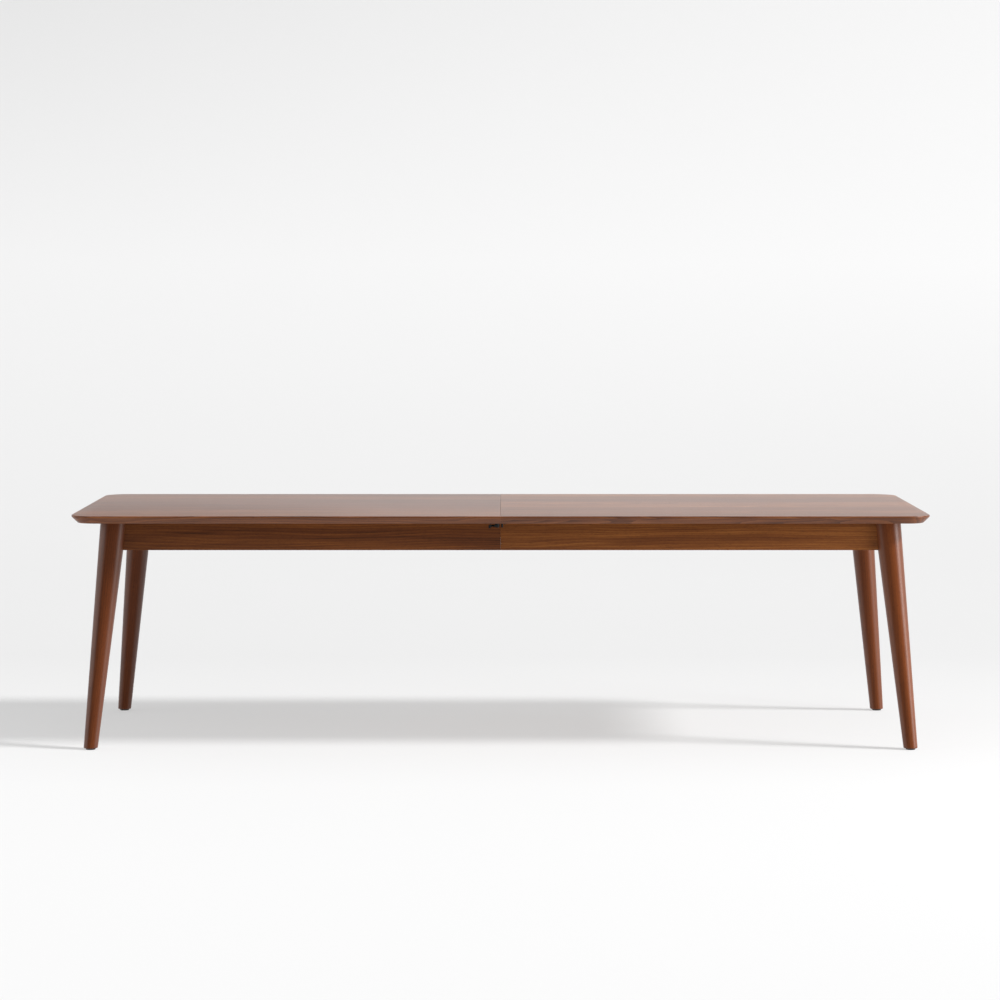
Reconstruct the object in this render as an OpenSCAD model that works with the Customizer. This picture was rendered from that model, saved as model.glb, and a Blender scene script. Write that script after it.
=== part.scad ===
// Extendable dining table, closed: the top, its apron and its legs part at the centre seam.
// X runs along the length, Y across (the front is -Y), Z up from the floor.
// The origin is on the floor, under the centre of the top.

/* [Table top] */
// Length of the closed top
top_l = 2776; // [2400:10:3400]
// Width of the top
top_w = 1016; // [920:2:1220]
// Height of the top's surface above the floor
table_h = 762; // [640:1:920]
// Thickness of the top
top_t = 25; // [20:0.5:30]
// Height of the upright lip above the under-bevel
edge_lip = 6; // [3:0.5:10]
// How far the under-bevel cuts in
bevel_in = 20; // [16:1:40]
// Corner radius of the top, in plan
corner_r = 80; // [45:1:90]
// Gap between the two halves at the seam
seam_gap = 0.1; // [0.1:0.1:1]

/* [Legs] */
// Radius of a leg where it meets the top
leg_top_r = 42.6; // [34:0.5:50]
// Radius of a leg at its foot
leg_foot_r = 22.8; // [18:0.2:28]
// Leg axis to the end of the top, at the top of the leg
leg_top_inset_x = 131; // [110:1:160]
// Leg axis to the side of the top, at the top of the leg
leg_top_inset_y = 118; // [105:1:150]
// Leg axis to the end of the top, at the foot
leg_foot_inset_x = 58; // [40:1:100]
// Leg axis to the side of the top, at the foot
leg_foot_inset_y = 51; // [40:1:100]
// Radius of the glide under a foot
glide_r = 15.5; // [10:0.5:17]
// Height of the glide under a foot
glide_h = 5; // [3:0.5:8]

/* [Apron] */
// Height of the apron boards
apron_h = 93; // [88:1:120]
// Thickness of the apron boards
apron_t = 24; // [18:1:28]
// Length of a tenon inside its leg
tenon_in = 14; // [8:1:18]
// Thickness of a tenon
tenon_t = 10; // [8:1:14]

/* [Extension] */
// Length of the stored leaf along the table, which is how far the halves part
leaf_l = 508; // [300:2:600]
// Thickness of a slide member
member_t = 26; // [22:0.5:32]
// Height of a slide's outer members
member_h = 52; // [46:1:56]
// Half the length of a centre member
centre_half_l = 500; // [420:5:560]
// How far an outer member reaches along its own half
member_reach = 800; // [700:5:900]
// How much farther than the travel an outer member reaches past the seam
member_extra = 46; // [44:1:60]
// Gap between an outer member and the side apron
slide_clear = 21.5; // [19:0.5:30]
// Gear module of the equaliser
gear_m = 2; // [1.75:0.25:2.5]
// Teeth on the equaliser's pinion, an even number
pinion_z = 16; // [14:2:18]

/* [Latch] */
// Pivot to hook distance of a latch lever
latch_r = 16; // [16:0.5:18]
// Pivot to seam distance
latch_pivot_x = 11; // [9:0.5:11.5]
// Distance of a latch from the side of the top
latch_inset = 60; // [50:1:74]

/* [Fits] */
// Gap round a glued joint
glue_gap = 0.1; // [0.05:0.05:0.2]
// Gap between a coped apron end and its leg
cope_gap = 0.2; // [0.1:0.05:0.4]
// Gap between sliding faces
slide_gap = 0.4; // [0.3:0.05:0.6]
// Radial gap of a pin that turns
run_gap = 0.06; // [0.03:0.01:0.1]
// Radial gap round a fastener
screw_gap = 0.15; // [0.1:0.05:0.3]

/* [Hidden] */

FINE = 96;    // $fn of large rounds
ROUND = 48;   // $fn of small rounds
WALNUT = "#6b3f24";
WALNUT_TOP = "#7a4c30";
BEECH = "#c9a777";
STEEL = "#9a9c9e";
BLACK = "#1c1c1c";
BRASS = "#b08d45";
screw_head = 1.6;

// levels
under_z = table_h - top_t;              // underside of the top
apron_z = under_z - apron_h;            // underside of the apron
half_l = top_l / 2;
half_w = top_w / 2;

// leg axis, at the underside of the top and at the foot
leg_top = [half_l - leg_top_inset_x, half_w - leg_top_inset_y, under_z];
leg_foot = [half_l - leg_foot_inset_x, half_w - leg_foot_inset_y, glide_h];
leg_at = function(z) leg_foot + (leg_top - leg_foot) * (z - glide_h) / (under_z - glide_h);
cone_turn = 180;                        // keeps a cone's closing line clear of its cuts
leg_r_at = function(z) leg_foot_r + (leg_top_r - leg_foot_r) * (z - glide_h) / (under_z - glide_h);

// aprons: each board is centred on the leg's axis at half the apron's height
apron_mid_z = apron_z + apron_h / 2;
apron_x = leg_at(apron_mid_z)[0];       // centre plane of an end apron
apron_y = leg_at(apron_mid_z)[1];       // centre plane of a side apron
tenon_shoulder = 16;                    // above and below a tenon
tenon_h = apron_h - 2 * tenon_shoulder;
inner_x = apron_x - apron_t / 2;        // inner face of an end apron
inner_y = apron_y - apron_t / 2;        // inner face of a side apron

// corner brace: a bent steel plate across the corner
brace_t = 3;
brace_h = 60;
brace_c = 90;                           // corner to the bend, along each apron
brace_flange = 36;
bolt_r = 4;
bolt_dz = 20;                           // bolts lie this far above and below the middle
bolt_tail = 12;                         // past the leg's axis
bolt_end = 6;                           // past the nut
brace_s = (brace_c + apron_t) / sqrt(2);    // leg axis to the plate's near face, along the diagonal
brace_screw_dz = 18;
brace_screw_past = 4;                   // past the middle of the flange
brace_screw_l = 18;
nut_h = 6.5;
nut_r = 7.5;
washer_h = 1.6;
washer_r = 9;
block_s = 18;                           // glue block section
block_l = 70;
block_x = 70;                           // glue blocks along a side apron: first one from the seam
block_mid_x = 560;                      // the middle one from the seam
block_last = 290;                       // the last one from the end apron
block_end_y = 130;                      // middles of the two along an end apron
nail_r = 1.6;
nail_l = 19;

// slides, from the bottom up: crossbar, centre member, outer members, top
pad_h = 1;                              // lifts an outer member clear of the other half
pad_start = 20;                         // from the seam
member_top = under_z - pad_h;
member_low = member_top - member_h;
centre_top = member_top - 0.5;
centre_low = member_low - 1;
centre_t = member_t;
slide_mid_z = (member_top + member_low) / 2;
slide_screw_sink = 8;
outer_in = centre_t / 2 + slide_gap;    // slide's centre plane to an outer member's inner face
outer_out = outer_in + member_t;
slide_y = inner_y - slide_clear - outer_out;
tongue_w = 6;
tongue_h = 7;
tongue_dz = 16.5;
screw_into_top = 14;
first_slide_screw = 96;                 // from the seam
last_slide_screw = 48;                  // from the far end of the member
crossbar_h = 14;
crossbar_w = 40;
into_centre = 9;                        // crossbar screws into a centre member

// equaliser gear
pitch_r = gear_m * pinion_z / 2;
tooth_pitch = PI * gear_m;
addendum = 0.9 * gear_m;
dedendum = 1.15 * gear_m;
pressure = 20;
rack_h = 8;
rack_back = pitch_r + dedendum + 4.7;   // rack's back face to the pinion's axis
rack_gap = 0.2;                         // round the rack in its rebate
rack_thin = 0.1;                        // backlash taken off each tooth
pinion_thin = 0.2;
pinion_h = rack_h - 0.6;
pocket_x = 7;                           // pocket past the pitch circle
pin_r = 3;
pin_l = 40;
pin_gap = 0.03;
travel = leaf_l / 2;                    // each half moves this far
member_cross = travel + member_extra;
rack_lead = 22;                         // rack past the pinion at either end of the travel

// stops: a pin in each outer member runs in a slot of the centre member
stop_r = 2;
stop_in = 5;                            // how far the pin reaches into the centre member
stop_dz = 8.4;
stop_x = member_cross - 15;

// stored leaf: two panels folded together, good faces inside, fold at -Y
// half a turn about its pivot lifts the folded leaf into the opening
panel_x = leaf_l / 2 - seam_gap / 2;
panel_y = half_w / 2 - 0.2;
leaf_gap = 1;
pivot_r = 3;
pivot_y = -half_w / 4;
pivot_z = under_z - pivot_r - 2;
upper_mid_z = 2 * pivot_z - (table_h - top_t / 2);
leaf_mid_z = upper_mid_z - top_t / 2 - leaf_gap / 2;
lower_mid_z = leaf_mid_z - top_t / 2 - leaf_gap / 2;
crossbar_top = leaf_mid_z - leaf_gap / 2 - top_t - 0.3;
bar_clear = 4;                          // leaf's end to a crossbar
bar_x = leaf_l / 2 + bar_clear + crossbar_w / 2;
ledge_in = 18;                          // how far a crossbar's ledge reaches under the leaf
ledge_y = [40, 230];
foot_t = 3;                             // thickness of cradles and pivot plates
strap_w = 30;
strap_h = 36;
strap_t = 2.4;
strap_x = [-180, 0, 180];
knuckle_r = 2;
small_r = 1.8;                          // shank and head of the leaf's screws
small_head_r = 3.4;
small_dy = 9;                           // a small screw's distance from its pivot
pivot_plate_x = 42;                     // pivot plate, its far and near edge from the leaf's end
pivot_plate_in = 2;
pivot_plate_w = 14;                     // half its width
pivot_pin_in = 26;                      // pin inside and in all
pivot_pin_l = 35;
pivot_screw_in = 34;
pivot_screw_l = 18;
cradle_x = leaf_l / 2 + bar_clear;      // face of a cradle towards the leaf
cradle_w = 16;                          // half its width
cradle_foot = 20;                       // its foot along the crossbar's top
cradle_over = 2;                        // its height above the pivot
cradle_screw_in = 11;
cradle_screw_l = 14;

// alignment pins in the seam
pin_y = [half_w - 88, half_w - 418];
seam_pin_r = 4;
seam_pin_out = 12;
seam_pin_in = 22;
socket_gap = 0.3;                       // round a pin in the half that draws off it

// latch, under the overhang in front of each side apron
latch_y = half_w - latch_inset;
lever_t = 6;
lever_z = under_z - 13;                 // underside of a lever
plate_t = 3;
stud_r = 3;
stud_head_r = 4.2;
rivet_head_r = 5.5;
rivet_h = 2;
lever_gap = 0.2;                        // above and below a lever
lever_w = 14;
tab_t = 7;                              // finger tab at a lever's tip
tab_h = 5;
boss_r = 7;
base_x = [-26, 8];                      // base plate from its pivot, along the table
base_w = 16;                            // half its width
base_screw_x = [-21, 2];                // its screws from the pivot
base_screw_y = 12;
keeper_w = 14;                          // half the keeper plate's width
keeper_far = 13;                        // its far edge from the pin
keeper_screw_x = 8;                     // its screws from the pin
keeper_screw_y = 9;
lever_hub = 5;                          // material round a lever's pivot hole
slot_gap = 0.5;                         // round the keeper's pin in a lever's slot
tip_gap = 0.9;                          // between the pin's head and the finger tab
keeper_x = latch_r - latch_pivot_x;
lever_reach = latch_r + stud_head_r + tip_gap + tab_t;
latch_screw_l = 14;
latch_screw_r = 1.4;
latch_screw_head_r = 2.4;

// ---------- helpers ----------

// Places children with +Z running from p to q
module along(p, q) {
    d = q - p;
    translate(p) rotate([0, acos(d[2] / norm(d)), atan2(d[1], d[0])]) children();
}

// Repeats children mirrored to the side given by sx and sy (1 or -1)
module side(sx, sy) {
    mirror([sx < 0 ? 1 : 0, 0, 0]) mirror([0, sy < 0 ? 1 : 0, 0]) children();
}

// A box from its low corner to its high corner
module box(low, high) {
    translate(low) cube(high - low);
}

// Section across a slab from -half to half: a lip above an under-bevel
module slab_section(half) {
    polygon([
        [-half, table_h], [-half, table_h - edge_lip], [-half + bevel_in, under_z],
        [half - bevel_in, under_z], [half, table_h - edge_lip], [half, table_h]
    ]);
}

// A wood screw with its head at z 0 and its point up; grown, it is the hole, sunk below the head
module screw(length, r = 2.2, head_r = 4.2, grow = 0, sink = 1) {
    below = grow > 0 ? sink : 0;
    translate([0, 0, -below]) cylinder(h = screw_head + grow + below, r = head_r + grow, $fn = ROUND);
    cylinder(h = length + grow, r = r + grow, $fn = ROUND);
}

// ---------- top and alignment pins ----------

// Pin across the seam, glued into the left half
module seam_pin(y, z, grow) {
    length = seam_pin_in + seam_pin_out + seam_gap / 2 + 2 * grow;
    translate([-seam_gap / 2 - seam_pin_in - grow, y, z]) rotate([0, 90, 0])
        cylinder(h = length, r = seam_pin_r + grow, $fn = ROUND);
}

// The pins of the top
module top_pins(grow = 0) {
    for (sy = [-1, 1], y = pin_y) seam_pin(sy * y, table_h - top_t / 2, grow);
}

// Screws up through the left half's outer member at y into the top
module slide_screws(y, grow = 0) {
    length = member_h - slide_screw_sink + pad_h + screw_into_top;
    step = (member_reach - first_slide_screw - last_slide_screw) / 3;
    for (i = [0 : 3]) translate([-first_slide_screw - i * step, y, member_low + slide_screw_sink])
        screw(length, grow = grow, sink = slide_screw_sink + 1);
}

// Both halves together: a slab each way and a coned round at each corner
module whole_top() {
    run_x(corner_r - half_l, half_l - corner_r) slab_section(half_w);
    rotate([0, 0, 90]) run_x(corner_r - half_w, half_w - corner_r) slab_section(half_l);
    for (sx = [-1, 1], sy = [-1, 1]) translate([sx * (half_l - corner_r), sy * (half_w - corner_r), 0]) {
        translate([0, 0, under_z])
            cylinder(h = top_t - edge_lip, r1 = corner_r - bevel_in, r2 = corner_r, $fn = FINE);
        translate([0, 0, table_h - edge_lip]) cylinder(h = edge_lip, r = corner_r, $fn = FINE);
    }
}

module top_half(sx) {
    color(WALNUT_TOP) difference() {
        intersection() {
            whole_top();
            side(sx, 1) box([seam_gap / 2, -half_w, under_z], [half_l, half_w, table_h]);
        }
        top_pins(sx < 0 ? glue_gap : socket_gap);
        for (sy = [-1, 1]) {
            side(-sx, 1) slide_screws(sy * member_y(sx, sy), grow = screw_gap);
            latch_plate_screws(sx, sy, grow = screw_gap);
        }
    }
}

module alignment_pins() {
    color(BRASS) {
        top_pins();
        apron_pins();
    }
}

// ---------- legs, glides and aprons ----------

// Round tapered leg of the back right corner, grown by g
module leg_cone(g = 0) {
    e = 60;
    d = (leg_top - leg_foot) / norm(leg_top - leg_foot);
    slope = (leg_top_r - leg_foot_r) / norm(leg_top - leg_foot);
    along(leg_foot - d * e, leg_top + d * e) rotate([0, 0, cone_turn])
        cylinder(h = norm(leg_top - leg_foot) + 2 * e, r1 = leg_foot_r - slope * e + g,
            r2 = leg_top_r + slope * e + g, $fn = FINE);
}

// Tenons of the two aprons that meet the back right leg
module tenon_side(grow = 0) {
    shoulder = apron_x - leg_r_at(apron_mid_z);
    box([shoulder - 30, apron_y - tenon_t / 2 - grow, apron_mid_z - tenon_h / 2 - grow],
        [shoulder + tenon_in + grow, apron_y + tenon_t / 2 + grow, apron_mid_z + tenon_h / 2 + grow]);
}

module tenon_end(grow = 0) {
    shoulder = apron_y - leg_r_at(apron_mid_z);
    box([apron_x - tenon_t / 2 - grow, shoulder - 30, apron_mid_z - tenon_h / 2 - grow],
        [apron_x + tenon_t / 2 + grow, shoulder + tenon_in + grow, apron_mid_z + tenon_h / 2 + grow]);
}

// Places children on both bolt axes of the back right leg, with +Z running in along the diagonal
module bolt_places() {
    for (dz = [-bolt_dz, bolt_dz])
        translate([apron_x + bolt_tail / sqrt(2), apron_y + bolt_tail / sqrt(2), apron_mid_z + dz])
            rotate([0, 0, 225]) rotate([0, 90, 0]) children();
}

// The two hanger bolts of the back right leg
module hanger_bolt_pair(grow = 0) {
    length = bolt_tail + brace_s + brace_t + washer_h + nut_h + bolt_end;
    bolt_places() translate([0, 0, -grow]) cylinder(h = length + grow, r = bolt_r + grow, $fn = ROUND);
}

// A ring or nut round a bolt, standing on z; sides is 6 for a nut
module bolt_ring(z, height, outer_r, sides, gap) {
    translate([0, 0, z]) difference() {
        cylinder(h = height, r = outer_r, $fn = sides);
        translate([0, 0, -1]) cylinder(h = height + 2, r = bolt_r + gap, $fn = ROUND);
    }
}

// Washer and nut on each hanger bolt of the back right leg
module hanger_nut_pair() {
    near = bolt_tail + brace_s + brace_t;
    bolt_places() {
        bolt_ring(near, washer_h, washer_r, ROUND, screw_gap);
        bolt_ring(near + washer_h, nut_h, nut_r, 6, glue_gap);
    }
}

module glide_nail(grow = 0) {
    translate([leg_foot[0], leg_foot[1], glide_h - 1])
        cylinder(h = nail_l + grow, r = nail_r + grow, $fn = ROUND);
}

module leg(sx, sy) {
    color(WALNUT) side(sx, sy) difference() {
        intersection() {
            leg_cone();
            box([0, 0, glide_h], [half_l + 50, half_w + 50, under_z]);
        }
        tenon_side(glue_gap);
        tenon_end(glue_gap);
        hanger_bolt_pair(screw_gap);
        glide_nail(glue_gap);
    }
}

// Nylon disc with an eased rim, and its nail
module glide(sx, sy) {
    color(BLACK) side(sx, sy) {
        translate([leg_foot[0], leg_foot[1], 0]) {
            cylinder(h = 1, r1 = glide_r - 1, r2 = glide_r, $fn = FINE);
            translate([0, 0, 1]) cylinder(h = glide_h - 1, r = glide_r, $fn = FINE);
        }
        glide_nail();
    }
}

// Side apron of one half, from the seam to its leg
module side_apron(sx, sy) {
    color(WALNUT) difference() {
        side(sx, sy) difference() {
            union() {
                difference() {
                    box([seam_gap / 2, apron_y - apron_t / 2, apron_z],
                        [apron_x, apron_y + apron_t / 2, under_z]);
                    leg_cone(cope_gap);
                }
                tenon_side();
            }
            brace_screws(1, grow = screw_gap);
        }
        apron_pins(sx < 0 ? glue_gap : socket_gap);
    }
}

module end_apron(sx) {
    color(WALNUT) side(sx, 1) difference() {
        union() {
            difference() {
                box([apron_x - apron_t / 2, -apron_y, apron_z], [apron_x + apron_t / 2, apron_y, under_z]);
                for (sy = [-1, 1]) side(1, sy) leg_cone(cope_gap);
            }
            for (sy = [-1, 1]) side(1, sy) tenon_end();
        }
        for (sy = [-1, 1]) side(1, sy) brace_screws(2, grow = screw_gap);
    }
}

// Pins that line up the side aprons across the seam
module apron_pins(grow = 0) {
    for (sy = [-1, 1]) seam_pin(sy * apron_y, apron_mid_z, grow);
}

// ---------- corner braces ----------

// Bent plate of the back right corner, in plan: flange, diagonal, flange
module brace_plan() {
    k = brace_t * (sqrt(2) - 1);
    polygon([
        [inner_x, inner_y - brace_c - brace_flange], [inner_x, inner_y - brace_c],
        [inner_x - brace_c, inner_y], [inner_x - brace_c - brace_flange, inner_y],
        [inner_x - brace_c - brace_flange, inner_y - brace_t],
        [inner_x - brace_c - k, inner_y - brace_t],
        [inner_x - brace_t, inner_y - brace_c - k],
        [inner_x - brace_t, inner_y - brace_c - brace_flange]
    ]);
}

module braces(sx) {
    color(STEEL) for (sy = [-1, 1]) side(sx, sy) difference() {
        translate([0, 0, apron_mid_z - brace_h / 2]) linear_extrude(brace_h) brace_plan();
        hanger_bolt_pair(screw_gap);
        for (way = [1, 2]) brace_screws(way, grow = screw_gap);
    }
}

// Screws of the back right brace: way 1 into the side apron, way 2 into the end apron
module brace_screws(way, grow = 0) {
    out = brace_c + brace_flange / 2 + brace_screw_past;
    in = brace_t + screw_head;
    for (z = [apron_mid_z - brace_screw_dz, apron_mid_z + brace_screw_dz])
        if (way == 1)
            translate([inner_x - out, inner_y - in, z])
                rotate([-90, 0, 0]) screw(brace_screw_l, grow = grow);
        else
            translate([inner_x - in, inner_y - out, z])
                rotate([0, 90, 0]) screw(brace_screw_l, grow = grow);
}

// Blocks glued into the angle between the aprons and the top, for one half
module glue_blocks(sx) {
    low = under_z - block_s;
    color(BEECH) side(sx, 1) {
        for (sy = [-1, 1], x = [block_x, block_mid_x, inner_x - block_last])
            side(1, sy) box([x, inner_y - block_s, low], [x + block_l, inner_y, under_z]);
        for (y = [-block_end_y, block_end_y])
            box([inner_x - block_s, y - block_l / 2, low], [inner_x, y + block_l / 2, under_z]);
    }
}

// ---------- slides and equaliser ----------

// Centre of an outer member: the right half's runs outside the slide, the left half's inside
member_y = function(sx, sy) slide_y + sx * (outer_in + member_t / 2);

// Outer member's section, seen along X with its inner face towards the centre plane at 0:
// two tongues, and a rebate between them for the rack
module member_section() {
    rebate = rack_h + 2 * rack_gap;
    difference() {
        union() {
            translate([outer_in, member_low]) square([member_t, member_h]);
            for (dz = [-tongue_dz, tongue_dz])
                translate([outer_in - tongue_w, slide_mid_z + dz - tongue_h / 2])
                    square([tongue_w + 1, tongue_h]);
        }
        translate([outer_in - 1, slide_mid_z - rebate / 2])
            square([rack_back + rack_gap - outer_in + 1, rebate]);
    }
}

// Extrudes a section, drawn as (distance, height), along X from x0 to x1
module run_x(x0, x1) {
    translate([x0, 0, 0]) rotate([90, 0, 90]) linear_extrude(x1 - x0) children();
}

// Puts a slide's own frame in place: its centre plane at y 0, the side of half sx towards +Y
module slide_frame(sx, sy) {
    translate([0, sy * slide_y, 0]) mirror([0, sx * sy < 0 ? 1 : 0, 0]) children();
}

module outer_slide(sx, sy) {
    color(BEECH) difference() {
        slide_frame(sx, sy) mirror([sx > 0 ? 1 : 0, 0, 0]) {
            run_x(-member_reach, member_cross) member_section();
            box([-member_reach, outer_in, member_top], [-pad_start, outer_out, under_z]);
        }
        side(-sx, 1) slide_screws(sy * member_y(sx, sy), grow = screw_gap);
        slide_stop(sx, sy, glue_gap);
    }
}

// Stop pin of one outer member
module slide_stop(sx, sy, grow = 0) {
    slide_frame(sx, sy) mirror([sx > 0 ? 1 : 0, 0, 0])
        translate([stop_x, centre_t / 2 - stop_in, slide_mid_z + stop_dz]) rotate([-90, 0, 0])
            cylinder(h = outer_out - centre_t / 2 + stop_in - 2 + grow, r = stop_r + grow, $fn = ROUND);
}

module slide_stops(sx) {
    color(STEEL) for (sy = [-1, 1]) slide_stop(sx, sy);
}

// Groove of height h and depth d in the centre member's +Y face, from x0 to x1 at dz from its middle
module face_slot(x0, x1, dz, h, d) {
    w = centre_t / 2;
    box([x0, w - d, slide_mid_z + dz - h / 2], [x1, w + 1, slide_mid_z + dz + h / 2]);
}

// Centre member: grooves for the tongues, slots for the stops, a pocket and a bore for the pinion
module centre_slide(sy) {
    w = centre_t / 2;
    end = centre_half_l + 1;
    slot_start = stop_x - travel - stop_r - 1;
    color(BEECH) translate([0, sy * slide_y, 0]) mirror([0, sy > 0 ? 1 : 0, 0]) difference() {
        box([-centre_half_l, -w, centre_low], [centre_half_l, w, centre_top]);
        for (turn = [0, 180]) rotate([0, 0, turn]) {
            for (dz = [-tongue_dz, tongue_dz])
                face_slot(-end, end, dz, tongue_h + 2 * slide_gap, tongue_w);
            face_slot(slot_start, stop_x + stop_r + 1, stop_dz,
                2 * (stop_r + slide_gap), stop_in + slide_gap);
        }
        box([-pitch_r - pocket_x, -w - 1, slide_mid_z - rack_h / 2 - 1],
            [pitch_r + pocket_x, w + 1, slide_mid_z + rack_h / 2 + 1]);
        translate([0, 0, slide_mid_z - pin_l / 2 - glue_gap])
            cylinder(h = pin_l + 2 * glue_gap, r = pin_r + pin_gap, $fn = ROUND);
        crossbar_screw_pair(screw_gap);
    }
}

// Rack of a half: flat back, teeth towards the pinion, a tooth space at x 0
module rack(sx, sy) {
    half_pitch = tooth_pitch / 2;
    tip = (half_pitch - rack_thin) / 2 - addendum * tan(pressure);
    root = (half_pitch - rack_thin) / 2 + dedendum * tan(pressure);
    first = -ceil(rack_lead / tooth_pitch);
    last = ceil((travel + rack_lead) / tooth_pitch);
    teeth = [for (k = [first : last], p = [
        [-root, pitch_r + dedendum], [-tip, pitch_r - addendum],
        [tip, pitch_r - addendum], [root, pitch_r + dedendum]
    ]) [(k + 0.5) * tooth_pitch + p[0], p[1]]];
    ends = [[(last + 1) * tooth_pitch, pitch_r + dedendum], [(last + 1) * tooth_pitch, rack_back],
        [first * tooth_pitch, rack_back], [first * tooth_pitch, pitch_r + dedendum]];
    color(STEEL) slide_frame(sx, sy) mirror([sx > 0 ? 1 : 0, 0, 0])
        translate([0, 0, slide_mid_z - rack_h / 2]) linear_extrude(rack_h) polygon(concat(teeth, ends));
}

// Involute spur gear with a tooth centred on each rack
module pinion(sy) {
    base_r = pitch_r * cos(pressure);
    tip_r = pitch_r + addendum;
    root_r = pitch_r - dedendum;
    inv = function(a) tan(a) * 180 / PI - a;
    half_tooth = (tooth_pitch / 2 - pinion_thin) / 2 / pitch_r * 180 / PI;
    flank_angle = function(r) half_tooth + inv(pressure) - inv(acos(min(1, base_r / r)));
    radii = [for (i = [0 : 5]) base_r + (tip_r - base_r) * i / 5];
    tooth = concat(
        [[root_r, -flank_angle(base_r)]], [for (r = radii) [r, -flank_angle(r)]],
        [for (i = [5 : -1 : 0]) [radii[i], flank_angle(radii[i])]], [[root_r, flank_angle(base_r)]]
    );
    outline = [for (k = [0 : pinion_z - 1], p = tooth)
        p[0] * [cos(p[1] + k * 360 / pinion_z), sin(p[1] + k * 360 / pinion_z)]];
    color(STEEL) translate([0, sy * slide_y, slide_mid_z - pinion_h / 2]) difference() {
        rotate([0, 0, 90]) linear_extrude(pinion_h) polygon(outline);
        translate([0, 0, -1]) cylinder(h = pinion_h + 2, r = pin_r + run_gap, $fn = ROUND);
    }
}

module pinion_pins() {
    color(STEEL) for (sy = [-1, 1])
        translate([0, sy * slide_y, slide_mid_z - pin_l / 2]) cylinder(h = pin_l, r = pin_r, $fn = ROUND);
}

// Beech bar under both centre members, with a ledge that carries the far edge of the stored leaf
module crossbar(sx) {
    low_x = bar_x - crossbar_w / 2;
    high_x = bar_x + crossbar_w / 2;
    color(BEECH) difference() {
        side(sx, 1) {
            box([low_x, -slide_y - centre_t / 2, crossbar_top - crossbar_h],
                [high_x, slide_y + centre_t / 2, crossbar_top]);
            box([low_x - ledge_in, ledge_y[0], crossbar_top - crossbar_h],
                [low_x + 1, ledge_y[1], crossbar_top]);
            for (sy = [-1, 1]) side(1, sy)
                box([low_x, slide_y - centre_t / 2, crossbar_top - 1],
                    [high_x, slide_y + centre_t / 2, centre_low]);
        }
        for (sy = [-1, 1]) translate([0, sy * slide_y, 0]) crossbar_screw_pair(screw_gap);
        cradle_screws(sx, screw_gap);
    }
}

// Screws up through both crossbars into the centre member at y 0
module crossbar_screw_pair(grow = 0) {
    for (sx = [-1, 1]) translate([sx * bar_x, 0, crossbar_top - crossbar_h - screw_head])
        screw(crossbar_h + (centre_low - crossbar_top) + screw_head + into_centre, grow = grow);
}

module centre_screws() {
    color(STEEL) {
        for (sy = [-1, 1]) translate([0, sy * slide_y, 0]) crossbar_screw_pair();
        for (sx = [-1, 1]) cradle_screws(sx);
        for (sx = [-1, 1]) pivot_screws(sx);
    }
}

// ---------- stored butterfly leaf ----------

// Section of a panel across the table: good face at 0, fold at -Y, bevelled edge at +Y
module panel_section() {
    polygon([
        [-panel_y, 0], [panel_y, 0], [panel_y, edge_lip],
        [panel_y - bevel_in, top_t], [-panel_y, top_t]
    ]);
}

// Places children at every pin position along a panel's edge, in both panels
module leaf_pin_places() {
    for (z = [upper_mid_z, lower_mid_z], y = pin_y)
        translate([0, y - half_w / 2, z]) rotate([0, 90, 0]) children();
}

module leaf_pins(grow = 0) {
    leaf_pin_places() translate([0, 0, panel_x - seam_pin_in - grow])
        cylinder(h = seam_pin_in + seam_pin_out + grow, r = seam_pin_r + grow, $fn = ROUND);
}

// Sockets in the leaf's left edge for the left half's pins
module leaf_sockets() {
    leaf_pin_places() translate([0, 0, -panel_x - 1])
        cylinder(h = seam_pin_out + 3, r = seam_pin_r + socket_gap, $fn = ROUND);
}

// Brass straps let into both panels' fold edges, each with a slim knuckle
module leaf_hinges(grow = 0) {
    w = strap_w / 2 + grow;
    h = strap_h / 2 + grow;
    for (x = strap_x) {
        box([x - w, -panel_y - grow, leaf_mid_z - h], [x + w, -panel_y + strap_t + grow, leaf_mid_z + h]);
        translate([x - w, -panel_y, leaf_mid_z]) rotate([0, 90, 0])
            cylinder(h = 2 * w, r = knuckle_r + grow, $fn = ROUND);
    }
}

module leaf_panel(upper) {
    color(WALNUT_TOP) difference() {
        translate([0, 0, leaf_mid_z]) mirror([0, 0, upper ? 0 : 1]) translate([0, 0, leaf_gap / 2])
            run_x(-panel_x, panel_x) panel_section();
        leaf_pins(glue_gap);
        leaf_sockets();
        leaf_hinges(glue_gap);
        for (sx = [-1, 1]) pivot_screws(sx, screw_gap);
    }
}

// Plate on the leaf's underside with the pin that turns in a cradle
module leaf_pivots() {
    plate_z = upper_mid_z + top_t / 2;
    color(STEEL) for (sx = [-1, 1]) difference() {
        side(sx, 1) {
            box([panel_x - pivot_plate_x, pivot_y - pivot_plate_w, plate_z],
                [panel_x - pivot_plate_in, pivot_y + pivot_plate_w, plate_z + foot_t]);
            translate([panel_x - pivot_pin_in, pivot_y, pivot_z]) rotate([0, 90, 0])
                cylinder(h = pivot_pin_l, r = pivot_r, $fn = ROUND);
        }
        pivot_screws(sx, screw_gap);
    }
}

// A pair of small screws pointing down, their heads standing on z, at x on side sx
module small_screws(sx, x, z, length, grow) {
    side(sx, 1) for (dy = [-small_dy, small_dy])
        translate([x, pivot_y + dy, z + screw_head]) mirror([0, 0, 1])
            screw(length, r = small_r, head_r = small_head_r, grow = grow);
}

module pivot_screws(sx, grow = 0) {
    small_screws(sx, panel_x - pivot_screw_in, upper_mid_z + top_t / 2 + foot_t, pivot_screw_l, grow);
}

module cradle_screws(sx, grow = 0) {
    small_screws(sx, cradle_x + cradle_screw_in, crossbar_top + foot_t, cradle_screw_l, grow);
}

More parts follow.
